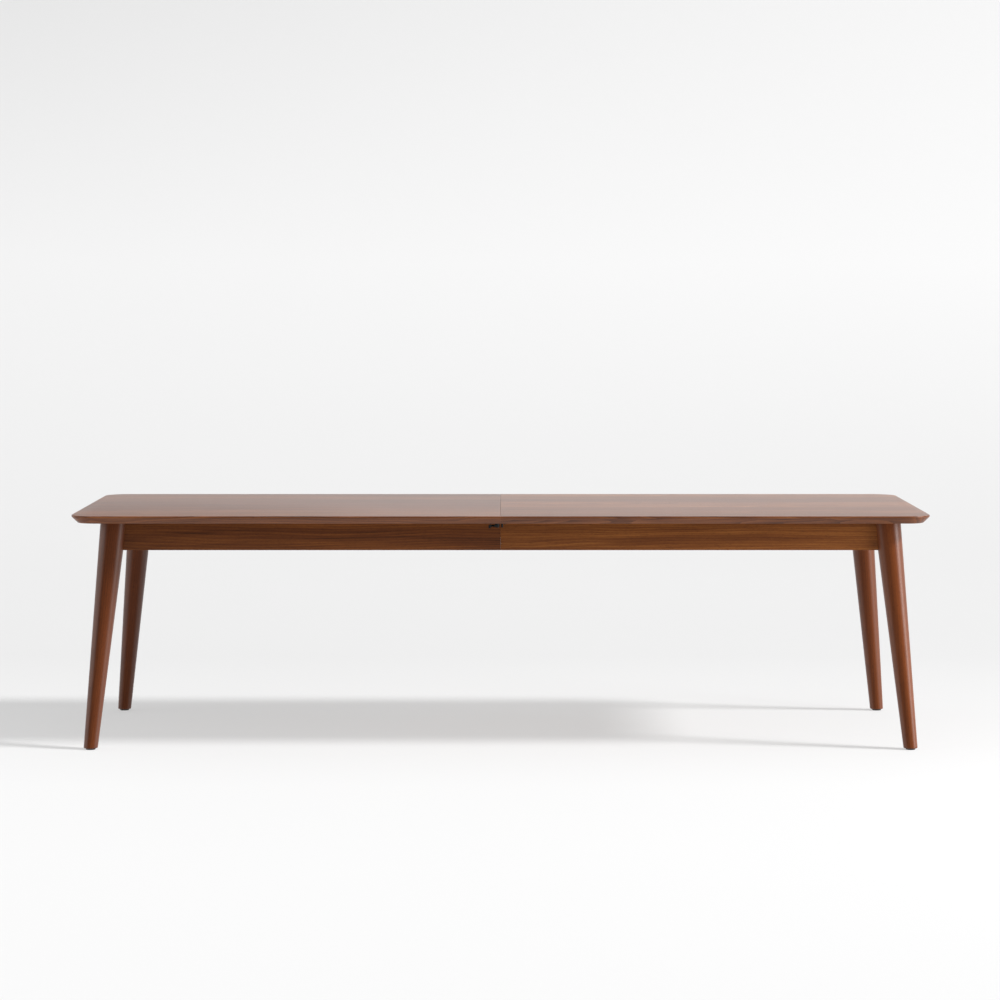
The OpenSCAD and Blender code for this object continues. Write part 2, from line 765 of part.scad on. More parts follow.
// Steel angle with an open slot that takes a pivot pin, screwed to its crossbar
module leaf_cradles() {
    slot_r = pivot_r + 0.25;
    color(STEEL) for (sx = [-1, 1]) difference() {
        side(sx, 1) {
            box([cradle_x, pivot_y - cradle_w, crossbar_top],
                [cradle_x + foot_t, pivot_y + cradle_w, pivot_z + cradle_over]);
            box([cradle_x, pivot_y - cradle_w, crossbar_top],
                [cradle_x + cradle_foot, pivot_y + cradle_w, crossbar_top + foot_t]);
        }
        side(sx, 1) {
            translate([cradle_x - 1, pivot_y, pivot_z]) rotate([0, 90, 0])
                cylinder(h = foot_t + 2, r = slot_r, $fn = ROUND);
            box([cradle_x - 1, pivot_y - slot_r, pivot_z],
                [cradle_x + foot_t + 1, pivot_y + slot_r, pivot_z + cradle_over + 1]);
        }
        cradle_screws(sx, screw_gap);
    }
}

// ---------- latches ----------

// Puts a latch, drawn for the front, on side sy
module latch_side(sy) {
    translate([0, sy * latch_y, 0]) mirror([0, sy > 0 ? 1 : 0, 0]) children();
}

// Screws of a latch plate (left half) or a keeper plate (right half)
module latch_plate_screws(sx, sy, grow = 0) {
    places = sx > 0 ? [for (y = [-keeper_screw_y, keeper_screw_y]) [keeper_x + keeper_screw_x, y]]
        : [for (y = [-base_screw_y, base_screw_y], x = base_screw_x) [x - latch_pivot_x, y]];
    for (p = places) translate([p[0], sy * latch_y + p[1], under_z - plate_t - 1])
        screw(latch_screw_l, r = latch_screw_r, head_r = latch_screw_head_r, grow = grow);
}

// Rivet that holds a lever to its plate: a head under the lever and a shank through both
module latch_rivet(grow = 0) {
    translate([-latch_pivot_x, 0, lever_z - lever_gap - rivet_h]) {
        cylinder(h = rivet_h, r = rivet_head_r, $fn = ROUND);
        cylinder(h = under_z - lever_z + lever_gap + rivet_h + grow, r = stud_r + grow, $fn = ROUND);
    }
}

module latch_rivets() {
    color(BLACK) for (sy = [-1, 1]) latch_side(sy) latch_rivet();
}

// Plate on the left half with the boss that a lever turns against
module latch_bases() {
    boss_z = lever_z + lever_t + lever_gap;
    color(BLACK) for (sy = [-1, 1]) difference() {
        latch_side(sy) translate([-latch_pivot_x, 0, 0]) {
            box([base_x[0], -base_w, under_z - plate_t], [base_x[1], base_w, under_z]);
            translate([0, 0, boss_z]) cylinder(h = under_z - 1 - boss_z, r = boss_r, $fn = ROUND);
        }
        latch_plate_screws(-1, sy, screw_gap);
        latch_side(sy) latch_rivet(glue_gap);
    }
}

// Lever parked away from the seam; half a turn hooks the keeper
module latch_lever(sy) {
    w = lever_w / 2;
    slot_r = stud_r + slot_gap;
    color(BLACK) latch_side(sy) translate([-latch_pivot_x, 0, lever_z]) difference() {
        union() {
            cylinder(h = lever_t, r = stud_r + lever_hub, $fn = ROUND);
            box([-lever_reach, -w, 0], [0, w, lever_t]);
            box([-lever_reach, -w, -tab_h], [-lever_reach + tab_t, w, 1]);
        }
        translate([-latch_r, 0, -1]) cylinder(h = lever_t + 2, r = slot_r, $fn = ROUND);
        intersection() {
            difference() {
                translate([0, 0, -1]) cylinder(h = lever_t + 2, r = latch_r + slot_r, $fn = FINE);
                translate([0, 0, -2]) cylinder(h = lever_t + 4, r = latch_r - slot_r, $fn = FINE);
            }
            box([-lever_reach, -w - 1, -1], [0, 0, lever_t + 1]);
        }
        translate([0, 0, -1]) cylinder(h = lever_t + 2, r = stud_r + run_gap, $fn = ROUND);
    }
}

// Plate and headed pin on the right half
module latch_keepers() {
    pin_z = lever_z - lever_gap - rivet_h;
    color(BLACK) for (sy = [-1, 1]) difference() {
        latch_side(sy) translate([keeper_x, 0, 0]) {
            box([-keeper_x + seam_gap, -keeper_w, under_z - plate_t], [keeper_far, keeper_w, under_z]);
            translate([0, 0, pin_z]) cylinder(h = under_z - 1 - pin_z, r = stud_r, $fn = ROUND);
            translate([0, 0, pin_z]) cylinder(h = rivet_h, r = stud_head_r, $fn = ROUND);
        }
        latch_plate_screws(1, sy, screw_gap);
    }
}

module latch_screws(sx) {
    color(BLACK) for (sy = [-1, 1]) latch_plate_screws(sx, sy);
}

// ---------- nodes ----------

top_half(-1);  // left_top
top_half(1);  // right_top
side_apron(-1, -1);  // left_front_apron
side_apron(-1, 1);  // left_back_apron
end_apron(-1);  // left_end_apron
side_apron(1, -1);  // right_front_apron
side_apron(1, 1);  // right_back_apron
end_apron(1);  // right_end_apron
leg(-1, -1);  // front_left_leg
leg(-1, 1);  // back_left_leg
leg(1, -1);  // front_right_leg
leg(1, 1);  // back_right_leg
glide(-1, -1);  // front_left_glide
glide(-1, 1);  // back_left_glide
glide(1, -1);  // front_right_glide
glide(1, 1);  // back_right_glide
braces(-1);  // left_braces
braces(1);  // right_braces
color(STEEL) for (sy = [-1, 1]) side(-1, sy) hanger_bolt_pair();  // left_hanger_bolts
color(STEEL) for (sy = [-1, 1]) side(1, sy) hanger_bolt_pair();  // right_hanger_bolts
color(STEEL) for (sy = [-1, 1]) side(-1, sy) hanger_nut_pair();  // left_hanger_nuts
color(STEEL) for (sy = [-1, 1]) side(1, sy) hanger_nut_pair();  // right_hanger_nuts
color(STEEL) for (sy = [-1, 1], way = [1, 2]) side(-1, sy) brace_screws(way);  // left_brace_screws
color(STEEL) for (sy = [-1, 1], way = [1, 2]) side(1, sy) brace_screws(way);  // right_brace_screws
glue_blocks(-1);  // left_glue_blocks
glue_blocks(1);  // right_glue_blocks
outer_slide(-1, -1);  // left_front_slide
outer_slide(-1, 1);  // left_back_slide
outer_slide(1, -1);  // right_front_slide
outer_slide(1, 1);  // right_back_slide
centre_slide(-1);  // front_centre_slide
centre_slide(1);  // back_centre_slide
rack(-1, -1);  // left_front_rack
rack(-1, 1);  // left_back_rack
rack(1, -1);  // right_front_rack
rack(1, 1);  // right_back_rack
pinion(-1);  // front_pinion
pinion(1);  // back_pinion
pinion_pins();
color(STEEL) for (sy = [-1, 1]) slide_screws(sy * member_y(-1, sy));  // left_slide_screws
color(STEEL) for (sy = [-1, 1]) side(-1, 1) slide_screws(sy * member_y(1, sy));  // right_slide_screws
slide_stops(-1);  // left_slide_stops
slide_stops(1);  // right_slide_stops
crossbar(-1);  // left_crossbar
crossbar(1);  // right_crossbar
centre_screws();
leaf_panel(true);  // leaf_upper
leaf_panel(false);  // leaf_lower
color(BRASS) leaf_hinges();
color(BRASS) leaf_pins();
leaf_pivots();
leaf_cradles();
alignment_pins();
latch_bases();
latch_lever(-1);  // front_latch_lever
latch_lever(1);  // back_latch_lever
latch_rivets();
latch_keepers();
latch_screws(-1);  // left_latch_screws
latch_screws(1);  // right_latch_screws
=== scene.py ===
"""Looks for the extendable dining table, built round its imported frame."""

import bmesh
import bpy
import numpy as np
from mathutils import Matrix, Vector


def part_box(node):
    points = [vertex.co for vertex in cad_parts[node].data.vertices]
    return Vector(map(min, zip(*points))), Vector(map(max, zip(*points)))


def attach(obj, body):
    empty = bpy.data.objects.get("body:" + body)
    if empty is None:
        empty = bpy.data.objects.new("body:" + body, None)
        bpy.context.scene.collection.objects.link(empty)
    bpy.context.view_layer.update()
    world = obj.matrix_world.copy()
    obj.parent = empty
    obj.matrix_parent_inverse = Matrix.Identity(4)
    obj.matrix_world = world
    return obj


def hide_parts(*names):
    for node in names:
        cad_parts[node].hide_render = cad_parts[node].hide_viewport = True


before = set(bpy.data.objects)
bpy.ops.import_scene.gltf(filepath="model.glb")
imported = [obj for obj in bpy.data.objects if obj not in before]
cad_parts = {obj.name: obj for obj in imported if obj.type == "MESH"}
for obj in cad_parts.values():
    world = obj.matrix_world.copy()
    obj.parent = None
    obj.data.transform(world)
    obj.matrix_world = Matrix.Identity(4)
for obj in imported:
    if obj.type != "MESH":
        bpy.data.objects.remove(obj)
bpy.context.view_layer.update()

bl_info = {
    "name": "Extendable Dining Table",
    "version": (1, 0, 0),
    "blender": (4, 5, 0),
    "location": "3D View > Sidebar > Dining Table",
    "description": "Builds the wood, metal and nylon surfaces of an extendable walnut dining table",
    "category": "Object",
}

MM = 0.001
HALVES = ("left", "right")
SIDES = ("front", "back")
SOFT_ANGLE = np.radians(32)     # edges flatter than this are shaded smooth
WAVE_PERIOD = np.pi / 10        # spacing of a wave texture's rings at a scale of 1

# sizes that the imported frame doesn't state as a box
TOP_LIP = 6 * MM
TOP_BEVEL = 20 * MM
TOP_CORNER = 80 * MM
BRACE_CORNER = 90 * MM          # corner of the aprons to the bend
BRACE_FLANGE = 36 * MM
BRACE_PLATE = 3 * MM
GLIDE_H = 5 * MM
COPE_GAP = 0.2 * MM
CRISP = 0.3 * MM                # ease of an edge that meets another piece

# the sweep's floor from front to back, the radius of its bend, its wall's top edge and half its width
SWEEP_FRONT = -45.0
SWEEP_BACK = 6.0
SWEEP_BEND = 5.0
SWEEP_TOP = 7.0
SWEEP_HALF = 30.0

# painted light: how much the sweep's emission rises at the wall, in front and to the right
SWEEP_WALL_PAINTED_GLOW = 0.12
SWEEP_FRONT_PAINTED_GLOW = 0.12
SWEEP_SIDE_PAINTED_GLOW = 0.024


def linear(hex_colour):
    """sRGB hex to linear RGBA: c / 12.92 below the knee, ((c + 0.055) / 1.055) ** 2.4 above it."""
    srgb = np.array([int(hex_colour[i:i + 2], 16) for i in (1, 3, 5)]) / 255
    rgb = np.where(srgb <= 0.04045, srgb / 12.92, ((srgb + 0.055) / 1.055) ** 2.4)
    return tuple(float(c) for c in rgb) + (1.0,)


# ---------- surfaces ----------

def mesh_piece(name, vertices, faces, body, replaced=()):
    """Makes a closed piece, faces outwards, from vertices and lists of faces; it rides on body."""
    mesh = bpy.data.meshes.new(name)
    mesh.from_pydata(np.asarray(vertices).tolist(), [], faces)
    work = bmesh.new()
    work.from_mesh(mesh)
    bmesh.ops.recalc_face_normals(work, faces=work.faces)
    work.to_mesh(mesh)
    work.free()
    mesh.polygons.foreach_set("use_smooth", np.ones(len(mesh.polygons), dtype=bool))
    mesh.set_sharp_from_angle(angle=SOFT_ANGLE)
    piece = bpy.data.objects.new(name, mesh)
    bpy.context.scene.collection.objects.link(piece)
    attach(piece, body)
    if replaced:
        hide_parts(*replaced)
    return piece


def skin(rings):
    """Faces of a closed skin over equal rings: quads between neighbours, a flat face at each end."""
    count, size = rings.shape[:2]
    row = np.arange(count - 1)[:, None] * size
    here = np.arange(size)[None, :]
    after = (here + 1) % size
    quads = np.stack([row + here, row + after, row + size + after, row + size + here], axis=-1)
    last = (count - 1) * size
    return quads.reshape(-1, 4).tolist() + [list(range(size))[::-1], list(range(last, last + size))]


def join_skins(parts):
    """Vertices and faces of several ring stacks as one mesh; each part's faces count on from the last."""
    vertices = []
    faces = []
    start = 0
    for rings in parts:
        faces += [[i + start for i in face] for face in skin(rings)]
        vertices.append(rings.reshape(-1, 3))
        start += rings.shape[0] * rings.shape[1]
    return np.concatenate(vertices), faces


def outline_inset(corners, inset, radius, steps=4):
    """A convex outline taken in by inset, each corner an arc of radius minus inset.

    Each side moves in along its normal; the arc's centre lies radius in from both sides that meet there,
    at corner + (n1 + n2) * radius / (1 + n1.n2), and the arc runs from one side's outward normal to the next.
    """
    corners = np.asarray(corners, dtype=float)
    sides = np.roll(corners, -1, axis=0) - corners
    out = np.stack([sides[:, 1], -sides[:, 0]], axis=1) / np.linalg.norm(sides, axis=1)[:, None]
    before = np.roll(out, 1, axis=0)
    share = 1 + np.sum(before * out, axis=1, keepdims=True)
    centres = corners - (before + out) * radius / share
    t = np.linspace(0, 1, steps + 1)[None, :, None]
    swing = before[:, None, :] * (1 - t) + out[:, None, :] * t
    swing /= np.linalg.norm(swing, axis=2, keepdims=True)
    return (centres[:, None, :] + swing * max(radius - inset, 1e-6)).reshape(-1, 2)


def eased_prism(corners, start, end, radius, start_ease=None, end_ease=None):
    """Rings of a prism along its first axis, its long edges rounded by radius and its ends by their own ease.

    Near an end the outline shrinks by ease * (1 - sin a) at a step of ease * (1 - cos a) from the end, for
    a from 0 to a right angle. A start or end can be a function of the profile points, for a coped end.
    """
    a = np.linspace(0, np.pi / 2, 4)
    rings = []
    for place, ease, way in ((start, start_ease, 1), (end, end_ease, -1)):
        ease = radius if ease is None else ease
        stations = []
        for inset, step in zip(ease * (1 - np.sin(a)), ease * (1 - np.cos(a))):
            profile = outline_inset(corners, inset, radius)
            level = place(profile) if callable(place) else np.full(len(profile), place)
            stations.append(np.column_stack([level + way * step, profile]))
        rings.extend(stations[::way])
    return np.stack(rings)


def box_corners(low, high):
    """Corners of a rectangle from its low to its high corner, anticlockwise."""
    return [(low[0], low[1]), (high[0], low[1]), (high[0], high[1]), (low[0], high[1])]


def give_grain(piece, along, across, depth, shift, tone_and_painted_shade):
    """Stores where each vertex lies in its board, in metres: along the grain, across it and into it. Also
    stores one value per piece that shifts its whole colour darker or lighter, which on the top halves and the
    back legs is painted shade.
    """
    mesh = piece.data
    points = np.empty(len(mesh.vertices) * 3)
    mesh.vertices.foreach_get("co", points)
    points = points.reshape(-1, 3)
    board = np.stack([points @ np.asarray(axis) for axis in (along, across, depth)], axis=1)
    board = (board + np.asarray(shift)).astype(np.float32)
    grain = mesh.attributes.new("grain", "FLOAT_VECTOR", "POINT")
    grain.data.foreach_set("vector", board.ravel())
    tint = mesh.attributes.new("tone_and_painted_shade", "FLOAT", "POINT")
    tint.data.foreach_set("value", np.full(len(mesh.vertices), tone_and_painted_shade, dtype=np.float32))


X_AXIS, Y_AXIS, Z_AXIS = np.eye(3)


def paint(piece, material):
    """Gives a piece one material."""
    piece.data.materials.clear()
    piece.data.materials.append(material)


# ---------- materials ----------

def add_node(tree, kind, inputs=None, **fields):
    """Adds a node, sets its fields, and fills its inputs with values or links from other sockets."""
    node = tree.nodes.new(kind)
    for key, value in fields.items():
        setattr(node, key, value)
    for key, value in (inputs or {}).items():
        if isinstance(value, bpy.types.NodeSocket):
            tree.links.new(value, node.inputs[key])
        else:
            node.inputs[key].default_value = value
    return node


def new_material(name, roughness, metallic=0.0, coat_roughness=0.1):
    """A material with one shader, its steady values set on the shader's own sockets."""
    material = bpy.data.materials.new(name)
    material.use_nodes = True
    tree = material.node_tree
    shader = tree.nodes["Principled BSDF"]
    shader.inputs["Roughness"].default_value = roughness
    shader.inputs["Metallic"].default_value = metallic
    shader.inputs["Coat Roughness"].default_value = coat_roughness
    return material, tree, shader


def ramp(tree, factor, stops):
    """A colour ramp over factor, from a list of (place, hex colour)."""
    node = add_node(tree, "ShaderNodeValToRGB", {"Fac": factor})
    band = node.color_ramp
    while len(band.elements) < len(stops):
        band.elements.new(1.0)
    for element, (place, colour) in zip(band.elements, stops):
        element.position = place
        element.color = linear(colour)
    return node.outputs["Color"]


def maths(tree, operation, first, second=0.0, third=0.0):
    """One sum on two or three numbers or sockets."""
    node = add_node(tree, "ShaderNodeMath", {0: first, 1: second, 2: third}, operation=operation)
    return node.outputs[0]


def bump(tree, shader, height, distance, strength=1.0):
    """Raises the surface by height times distance, in metres."""
    node = add_node(tree, "ShaderNodeBump", {"Height": height, "Distance": distance, "Strength": strength})
    tree.links.new(node.outputs["Normal"], shader.inputs["Normal"])


def walnut_lacquered(name, stops, board_width=0, pith=(0.0, 0.045), ring=0.007, wander=0.11,
                     shares=(0.30, 0.85, 0.22), roughness=0.36, specular=0.2, coat=0.2, coat_roughness=0.3):
    """American black walnut, planed and sprayed with satin lacquer.

    Growth rings are cut into lines and long arches, soft brown bands 20 to 40 mm wide run with them, and
    open pores leave short dark dashes. The lacquer's sheen is faint face on and grows towards grazing.
    pith is where the rings' centre lies, across the board and below its face. shares are how much rings,
    bands and fine fibre lines each count. With a board width, the surface is glued up from boards that wide.
    """
    material, tree, shader = new_material(name, roughness, coat_roughness=coat_roughness)
    shader.inputs["Specular IOR Level"].default_value = specular
    if coat:
        facing = add_node(tree, "ShaderNodeLayerWeight").outputs["Facing"]
        weight = add_node(
            tree, "ShaderNodeMapRange",
            {"Value": facing, "From Min": 0.08, "From Max": 0.22, "To Min": 0.15 * coat, "To Max": coat})
        tree.links.new(weight.outputs[0], shader.inputs["Coat Weight"])
    place = add_node(tree, "ShaderNodeAttribute", attribute_name="grain").outputs["Vector"]
    # per-piece colour shift: painted shade on the top halves and the back legs
    tone_and_painted_shade = add_node(tree, "ShaderNodeAttribute", attribute_name="tone_and_painted_shade").outputs["Fac"]
    board_tone = 0.5
    if board_width:
        split = add_node(tree, "ShaderNodeSeparateXYZ", {0: place})
        index = maths(tree, "FLOOR", maths(tree, "DIVIDE", split.outputs["Y"], board_width))
        random = add_node(tree, "ShaderNodeTexWhiteNoise", {"W": index}, noise_dimensions="1D")
        board_tone = random.outputs["Value"]
        inside = maths(tree, "SUBTRACT", split.outputs["Y"], maths(tree, "MULTIPLY", index, board_width))
        centre = maths(tree, "MULTIPLY_ADD", board_tone, 0.16, -0.02)
        place = add_node(
            tree, "ShaderNodeCombineXYZ",
            {"X": maths(tree, "MULTIPLY_ADD", board_tone, 7.0, split.outputs["X"]),
             "Y": maths(tree, "SUBTRACT", inside, centre), "Z": split.outputs["Z"]}).outputs[0]

    # a slow wander along the board bends the rings into arches
    slow = add_node(tree, "ShaderNodeMapping", {"Vector": place, "Scale": (1.1, 7.0, 7.0)})
    drift = add_node(tree, "ShaderNodeTexNoise", {"Vector": slow.outputs[0], "Scale": 1.0, "Detail": 2.0})
    drift_by = add_node(
        tree, "ShaderNodeVectorMath", {0: drift.outputs["Color"], 1: (0.0, wander, wander)},
        operation="MULTIPLY")
    moved = add_node(tree, "ShaderNodeVectorMath", {0: place, 1: drift_by.outputs[0]}, operation="ADD")
    ring_place = add_node(
        tree, "ShaderNodeMapping",
        {"Vector": moved.outputs[0], "Location": (0, *pith), "Scale": (0.03, 1, 1)})
    rings = add_node(
        tree, "ShaderNodeTexWave",
        {"Vector": ring_place.outputs[0], "Scale": WAVE_PERIOD / ring, "Distortion": 2.2, "Detail": 3.0,
         "Detail Scale": 1.2, "Detail Roughness": 0.62},
        wave_type="RINGS", rings_direction="X", wave_profile="SAW")

    # soft bands 30 mm wide and about 1 m long
    band_place = add_node(tree, "ShaderNodeMapping", {"Vector": moved.outputs[0], "Scale": (1.0, 33.0, 33.0)})
    bands = add_node(
        tree, "ShaderNodeTexNoise",
        {"Vector": band_place.outputs[0], "Scale": 1.0, "Detail": 5.0, "Roughness": 0.6, "Distortion": 0.3})

    # fine fibre lines 1.2 mm apart
    fibre_place = add_node(tree, "ShaderNodeMapping", {"Vector": place, "Scale": (9.0, 800.0, 800.0)})
    fibres = add_node(
        tree, "ShaderNodeTexNoise", {"Vector": fibre_place.outputs[0], "Scale": 1.0, "Detail": 3.0})

    # pores 12 mm long and 0.7 mm wide, drawn wider than the real 0.2 mm so that they show
    pore_place = add_node(tree, "ShaderNodeMapping", {"Vector": place, "Scale": (80.0, 1400.0, 1400.0)})
    pores = add_node(
        tree, "ShaderNodeTexNoise", {"Vector": pore_place.outputs[0], "Scale": 1.0, "Detail": 1.0})
    pore = add_node(
        tree, "ShaderNodeMapRange",
        {"Value": pores.outputs["Fac"], "From Min": 0.60, "From Max": 0.68}).outputs[0]

    # each part is centred on nought, so that the ramp's middle stays the board's own colour
    figure = maths(tree, "ADD", tone_and_painted_shade, 0.5)
    for part, mean, share in zip(
            (rings.outputs["Fac"], bands.outputs["Fac"], fibres.outputs["Fac"]), (0.5, 0.5, 0.5), shares):
        figure = maths(tree, "MULTIPLY_ADD", maths(tree, "SUBTRACT", part, mean), share, figure)
    figure = maths(tree, "MULTIPLY_ADD", maths(tree, "SUBTRACT", board_tone, 0.5), 0.24, figure)
    dark = add_node(
        tree, "ShaderNodeMix", {"Factor": maths(tree, "MULTIPLY", pore, 0.45), "A": ramp(tree, figure, stops),
                                "B": linear("#1c0f09")}, data_type="RGBA")
    tree.links.new(dark.outputs["Result"], shader.inputs["Base Color"])
    rough = maths(tree, "MULTIPLY_ADD", fibres.outputs["Fac"], 0.10, roughness - 0.05)
    tree.links.new(rough, shader.inputs["Roughness"])
    height = maths(tree, "MULTIPLY_ADD", pore, -1.0, maths(tree, "MULTIPLY", fibres.outputs["Fac"], 0.35))
    bump(tree, shader, height, 0.00010, 0.5)
    return material


def beech_planed(name):
    """European beech, planed and waxed: pale pinkish tan with short brown ray flecks and a dull sheen."""
    material, tree, shader = new_material(name, 0.55)
    place = add_node(tree, "ShaderNodeTexCoord").outputs["Object"]
    band_place = add_node(tree, "ShaderNodeMapping", {"Vector": place, "Scale": (2.0, 60.0, 60.0)})
    bands = add_node(
        tree, "ShaderNodeTexNoise", {"Vector": band_place.outputs[0], "Scale": 1.0, "Detail": 4.0})
    # flecks 3 mm long and 0.4 mm wide
    fleck_place = add_node(tree, "ShaderNodeMapping", {"Vector": place, "Scale": (330.0, 2400.0, 2400.0)})
    flecks = add_node(
        tree, "ShaderNodeTexNoise", {"Vector": fleck_place.outputs[0], "Scale": 1.0, "Detail": 0.0})
    fleck = add_node(
        tree, "ShaderNodeMapRange", {"Value": flecks.outputs["Fac"], "From Min": 0.62, "From Max": 0.70})
    colour = ramp(tree, bands.outputs["Fac"], [(0.25, "#b98f66"), (0.55, "#cfa97f"), (0.8, "#dcbb93")])
    mixed = add_node(
        tree, "ShaderNodeMix", {"Factor": maths(tree, "MULTIPLY", fleck.outputs[0], 0.5), "A": colour,
                                "B": linear("#8d6440")}, data_type="RGBA")
    tree.links.new(mixed.outputs["Result"], shader.inputs["Base Color"])
    bump(tree, shader, bands.outputs["Fac"], 0.0002, 0.4)
    return material


def steel_milled(name):
    """Mild steel, milled and oiled: grey metal with fine tool marks 0.4 mm apart across its length."""
    material, tree, shader = new_material(name, 0.34, metallic=1.0)
    place = add_node(tree, "ShaderNodeTexCoord").outputs["Object"]
    mark_place = add_node(tree, "ShaderNodeMapping", {"Vector": place, "Scale": (2500.0, 60.0, 60.0)})
    marks = add_node(
        tree, "ShaderNodeTexNoise", {"Vector": mark_place.outputs[0], "Scale": 1.0, "Detail": 2.0})
    colour = ramp(tree, marks.outputs["Fac"], [(0.3, "#8b8d90"), (0.7, "#b4b5b6")])
    tree.links.new(colour, shader.inputs["Base Color"])
    tree.links.new(maths(tree, "MULTIPLY_ADD", marks.outputs["Fac"], 0.2, 0.25), shader.inputs["Roughness"])
    bump(tree, shader, marks.outputs["Fac"], 0.00003)
    return material


def steel_zinc_plated(name):
    """Mild steel, stamped and bright zinc plated: silvery with a faint cloudy bluish and straw cast."""
    material, tree, shader = new_material(name, 0.3, metallic=1.0)
    place = add_node(tree, "ShaderNodeTexCoord").outputs["Object"]
    clouds = add_node(tree, "ShaderNodeTexNoise", {"Vector": place, "Scale": 60.0, "Detail": 4.0})
    colour = ramp(
        tree, clouds.outputs["Fac"], [(0.3, "#a9adb3"), (0.5, "#c2c2c0"), (0.7, "#c9c1ab")])
    tree.links.new(colour, shader.inputs["Base Color"])
    tree.links.new(maths(tree, "MULTIPLY_ADD", clouds.outputs["Fac"], 0.25, 0.18), shader.inputs["Roughness"])
    bump(tree, shader, clouds.outputs["Fac"], 0.00005)
    return material


def brass_turned(name):
    """Free-cutting brass, turned: warm yellow metal with fine tool lines, dulled a little by handling."""
    material, tree, shader = new_material(name, 0.3, metallic=1.0)
    place = add_node(tree, "ShaderNodeTexCoord").outputs["Object"]
    line_place = add_node(tree, "ShaderNodeMapping", {"Vector": place, "Scale": (3000.0, 40.0, 40.0)})
    lines = add_node(
        tree, "ShaderNodeTexNoise", {"Vector": line_place.outputs[0], "Scale": 1.0, "Detail": 1.0})
    colour = ramp(tree, lines.outputs["Fac"], [(0.3, "#a98643"), (0.7, "#cfae68")])
    tree.links.new(colour, shader.inputs["Base Color"])
    tree.links.new(maths(tree, "MULTIPLY_ADD", lines.outputs["Fac"], 0.2, 0.2), shader.inputs["Roughness"])
    bump(tree, shader, lines.outputs["Fac"], 0.00002)
    return material


def steel_powder_coated(name):
    """Steel, pressed and powder coated black: a fine orange-peel surface that breaks up its sheen."""
    material, tree, shader = new_material(name, 0.42)
    place = add_node(tree, "ShaderNodeTexCoord").outputs["Object"]
    # orange peel about 0.8 mm across
    peel = add_node(tree, "ShaderNodeTexNoise", {"Vector": place, "Scale": 1250.0, "Detail": 1.0})
    shader.inputs["Specular IOR Level"].default_value = 0.25
    colour = ramp(tree, peel.outputs["Fac"], [(0.35, "#080808"), (0.7, "#131313")])
    tree.links.new(colour, shader.inputs["Base Color"])
    tree.links.new(maths(tree, "MULTIPLY_ADD", peel.outputs["Fac"], 0.15, 0.35), shader.inputs["Roughness"])
    bump(tree, shader, peel.outputs["Fac"], 0.00006)
    return material


def nylon_moulded(name):
    """Nylon, injection moulded in black with a fine spark-eroded texture: matt, scuffed paler in places."""
    material, tree, shader = new_material(name, 0.6)
    place = add_node(tree, "ShaderNodeTexCoord").outputs["Object"]
    # texture about 0.5 mm across
    spark = add_node(tree, "ShaderNodeTexNoise", {"Vector": place, "Scale": 2000.0, "Detail": 2.0})
    scuffs = add_node(tree, "ShaderNodeTexNoise", {"Vector": place, "Scale": 90.0, "Detail": 3.0})
    colour = ramp(tree, scuffs.outputs["Fac"], [(0.4, "#17120f"), (0.75, "#2c2724")])
    tree.links.new(colour, shader.inputs["Base Color"])
    bump(tree, shader, spark.outputs["Fac"], 0.00004)
    return material


def acrylic_sweep(name, tint, glow):
    """Opal acrylic sheet, thermoformed into a sweep and given a painted glow: an emission that lifts the
    shadows cast on it, though no lamp lights it from behind.

    The painted glow isn't even: it rises with height, more on the right than the left, and towards the front.
    """
    material, tree, shader = new_material(name, 0.9)
    shader.inputs["Specular IOR Level"].default_value = 0.0
    place = add_node(tree, "ShaderNodeTexCoord").outputs["Object"]
    split = add_node(tree, "ShaderNodeSeparateXYZ", {0: place})
    x, y, z = (split.outputs[axis] for axis in "XYZ")
    mottle = add_node(tree, "ShaderNodeTexNoise", {"Vector": place, "Scale": 1.5, "Detail": 3.0})
    base = add_node(
        tree, "ShaderNodeMix", {"Factor": mottle.outputs["Fac"], "A": tint,
                                "B": tuple(0.99 * c for c in tint[:3]) + (1.0,)}, data_type="RGBA")
    tree.links.new(base.outputs["Result"], shader.inputs["Base Color"])
    # painted light: the emission rises up the wall, towards the front and to the right
    wall = add_node(
        tree, "ShaderNodeMapRange",
        {"Value": z, "From Min": 0.0, "From Max": 1.6, "To Min": 0.0, "To Max": SWEEP_WALL_PAINTED_GLOW}).outputs[0]
    front = add_node(
        tree, "ShaderNodeMapRange",
        {"Value": y, "From Min": 2.0, "From Max": -1.2, "To Min": 0.0, "To Max": SWEEP_FRONT_PAINTED_GLOW}).outputs[0]
    slope = add_node(
        tree, "ShaderNodeMapRange",
        {"Value": x, "From Min": -4.0, "From Max": 4.0,
         "To Min": -SWEEP_SIDE_PAINTED_GLOW, "To Max": SWEEP_SIDE_PAINTED_GLOW})
    side = maths(tree, "MULTIPLY", slope.outputs[0], z)
    level = maths(tree, "ADD", maths(tree, "ADD", wall, front), maths(tree, "ADD", side, glow))
    # the sheet glows though it is no lamp: painted light that lifts the shadows cast on it
    shader.inputs["Emission Color"].default_value = (1.0, 1.0, 1.0, 1.0)
    tree.links.new(level, shader.inputs["Emission Strength"])
    return material


WALNUT_TOP_STOPS = [(0.12, "#3c2012"), (0.38, "#653920"), (0.62, "#7e4b2b"), (0.90, "#9c673f")]
WALNUT_APRON_STOPS = [(0.12, "#2f1608"), (0.38, "#5e3217"), (0.62, "#7b4720"), (0.90, "#a16632")]
WALNUT_LEG_STOPS = [(0.12, "#2e1509"), (0.38, "#582b12"), (0.62, "#6d3818"), (0.90, "#8c4e24")]


def finish_for(name):
    """The material of that name, made the first time it is asked for."""
    made = bpy.data.materials.get(name)
    return made or FINISHES[name](name)


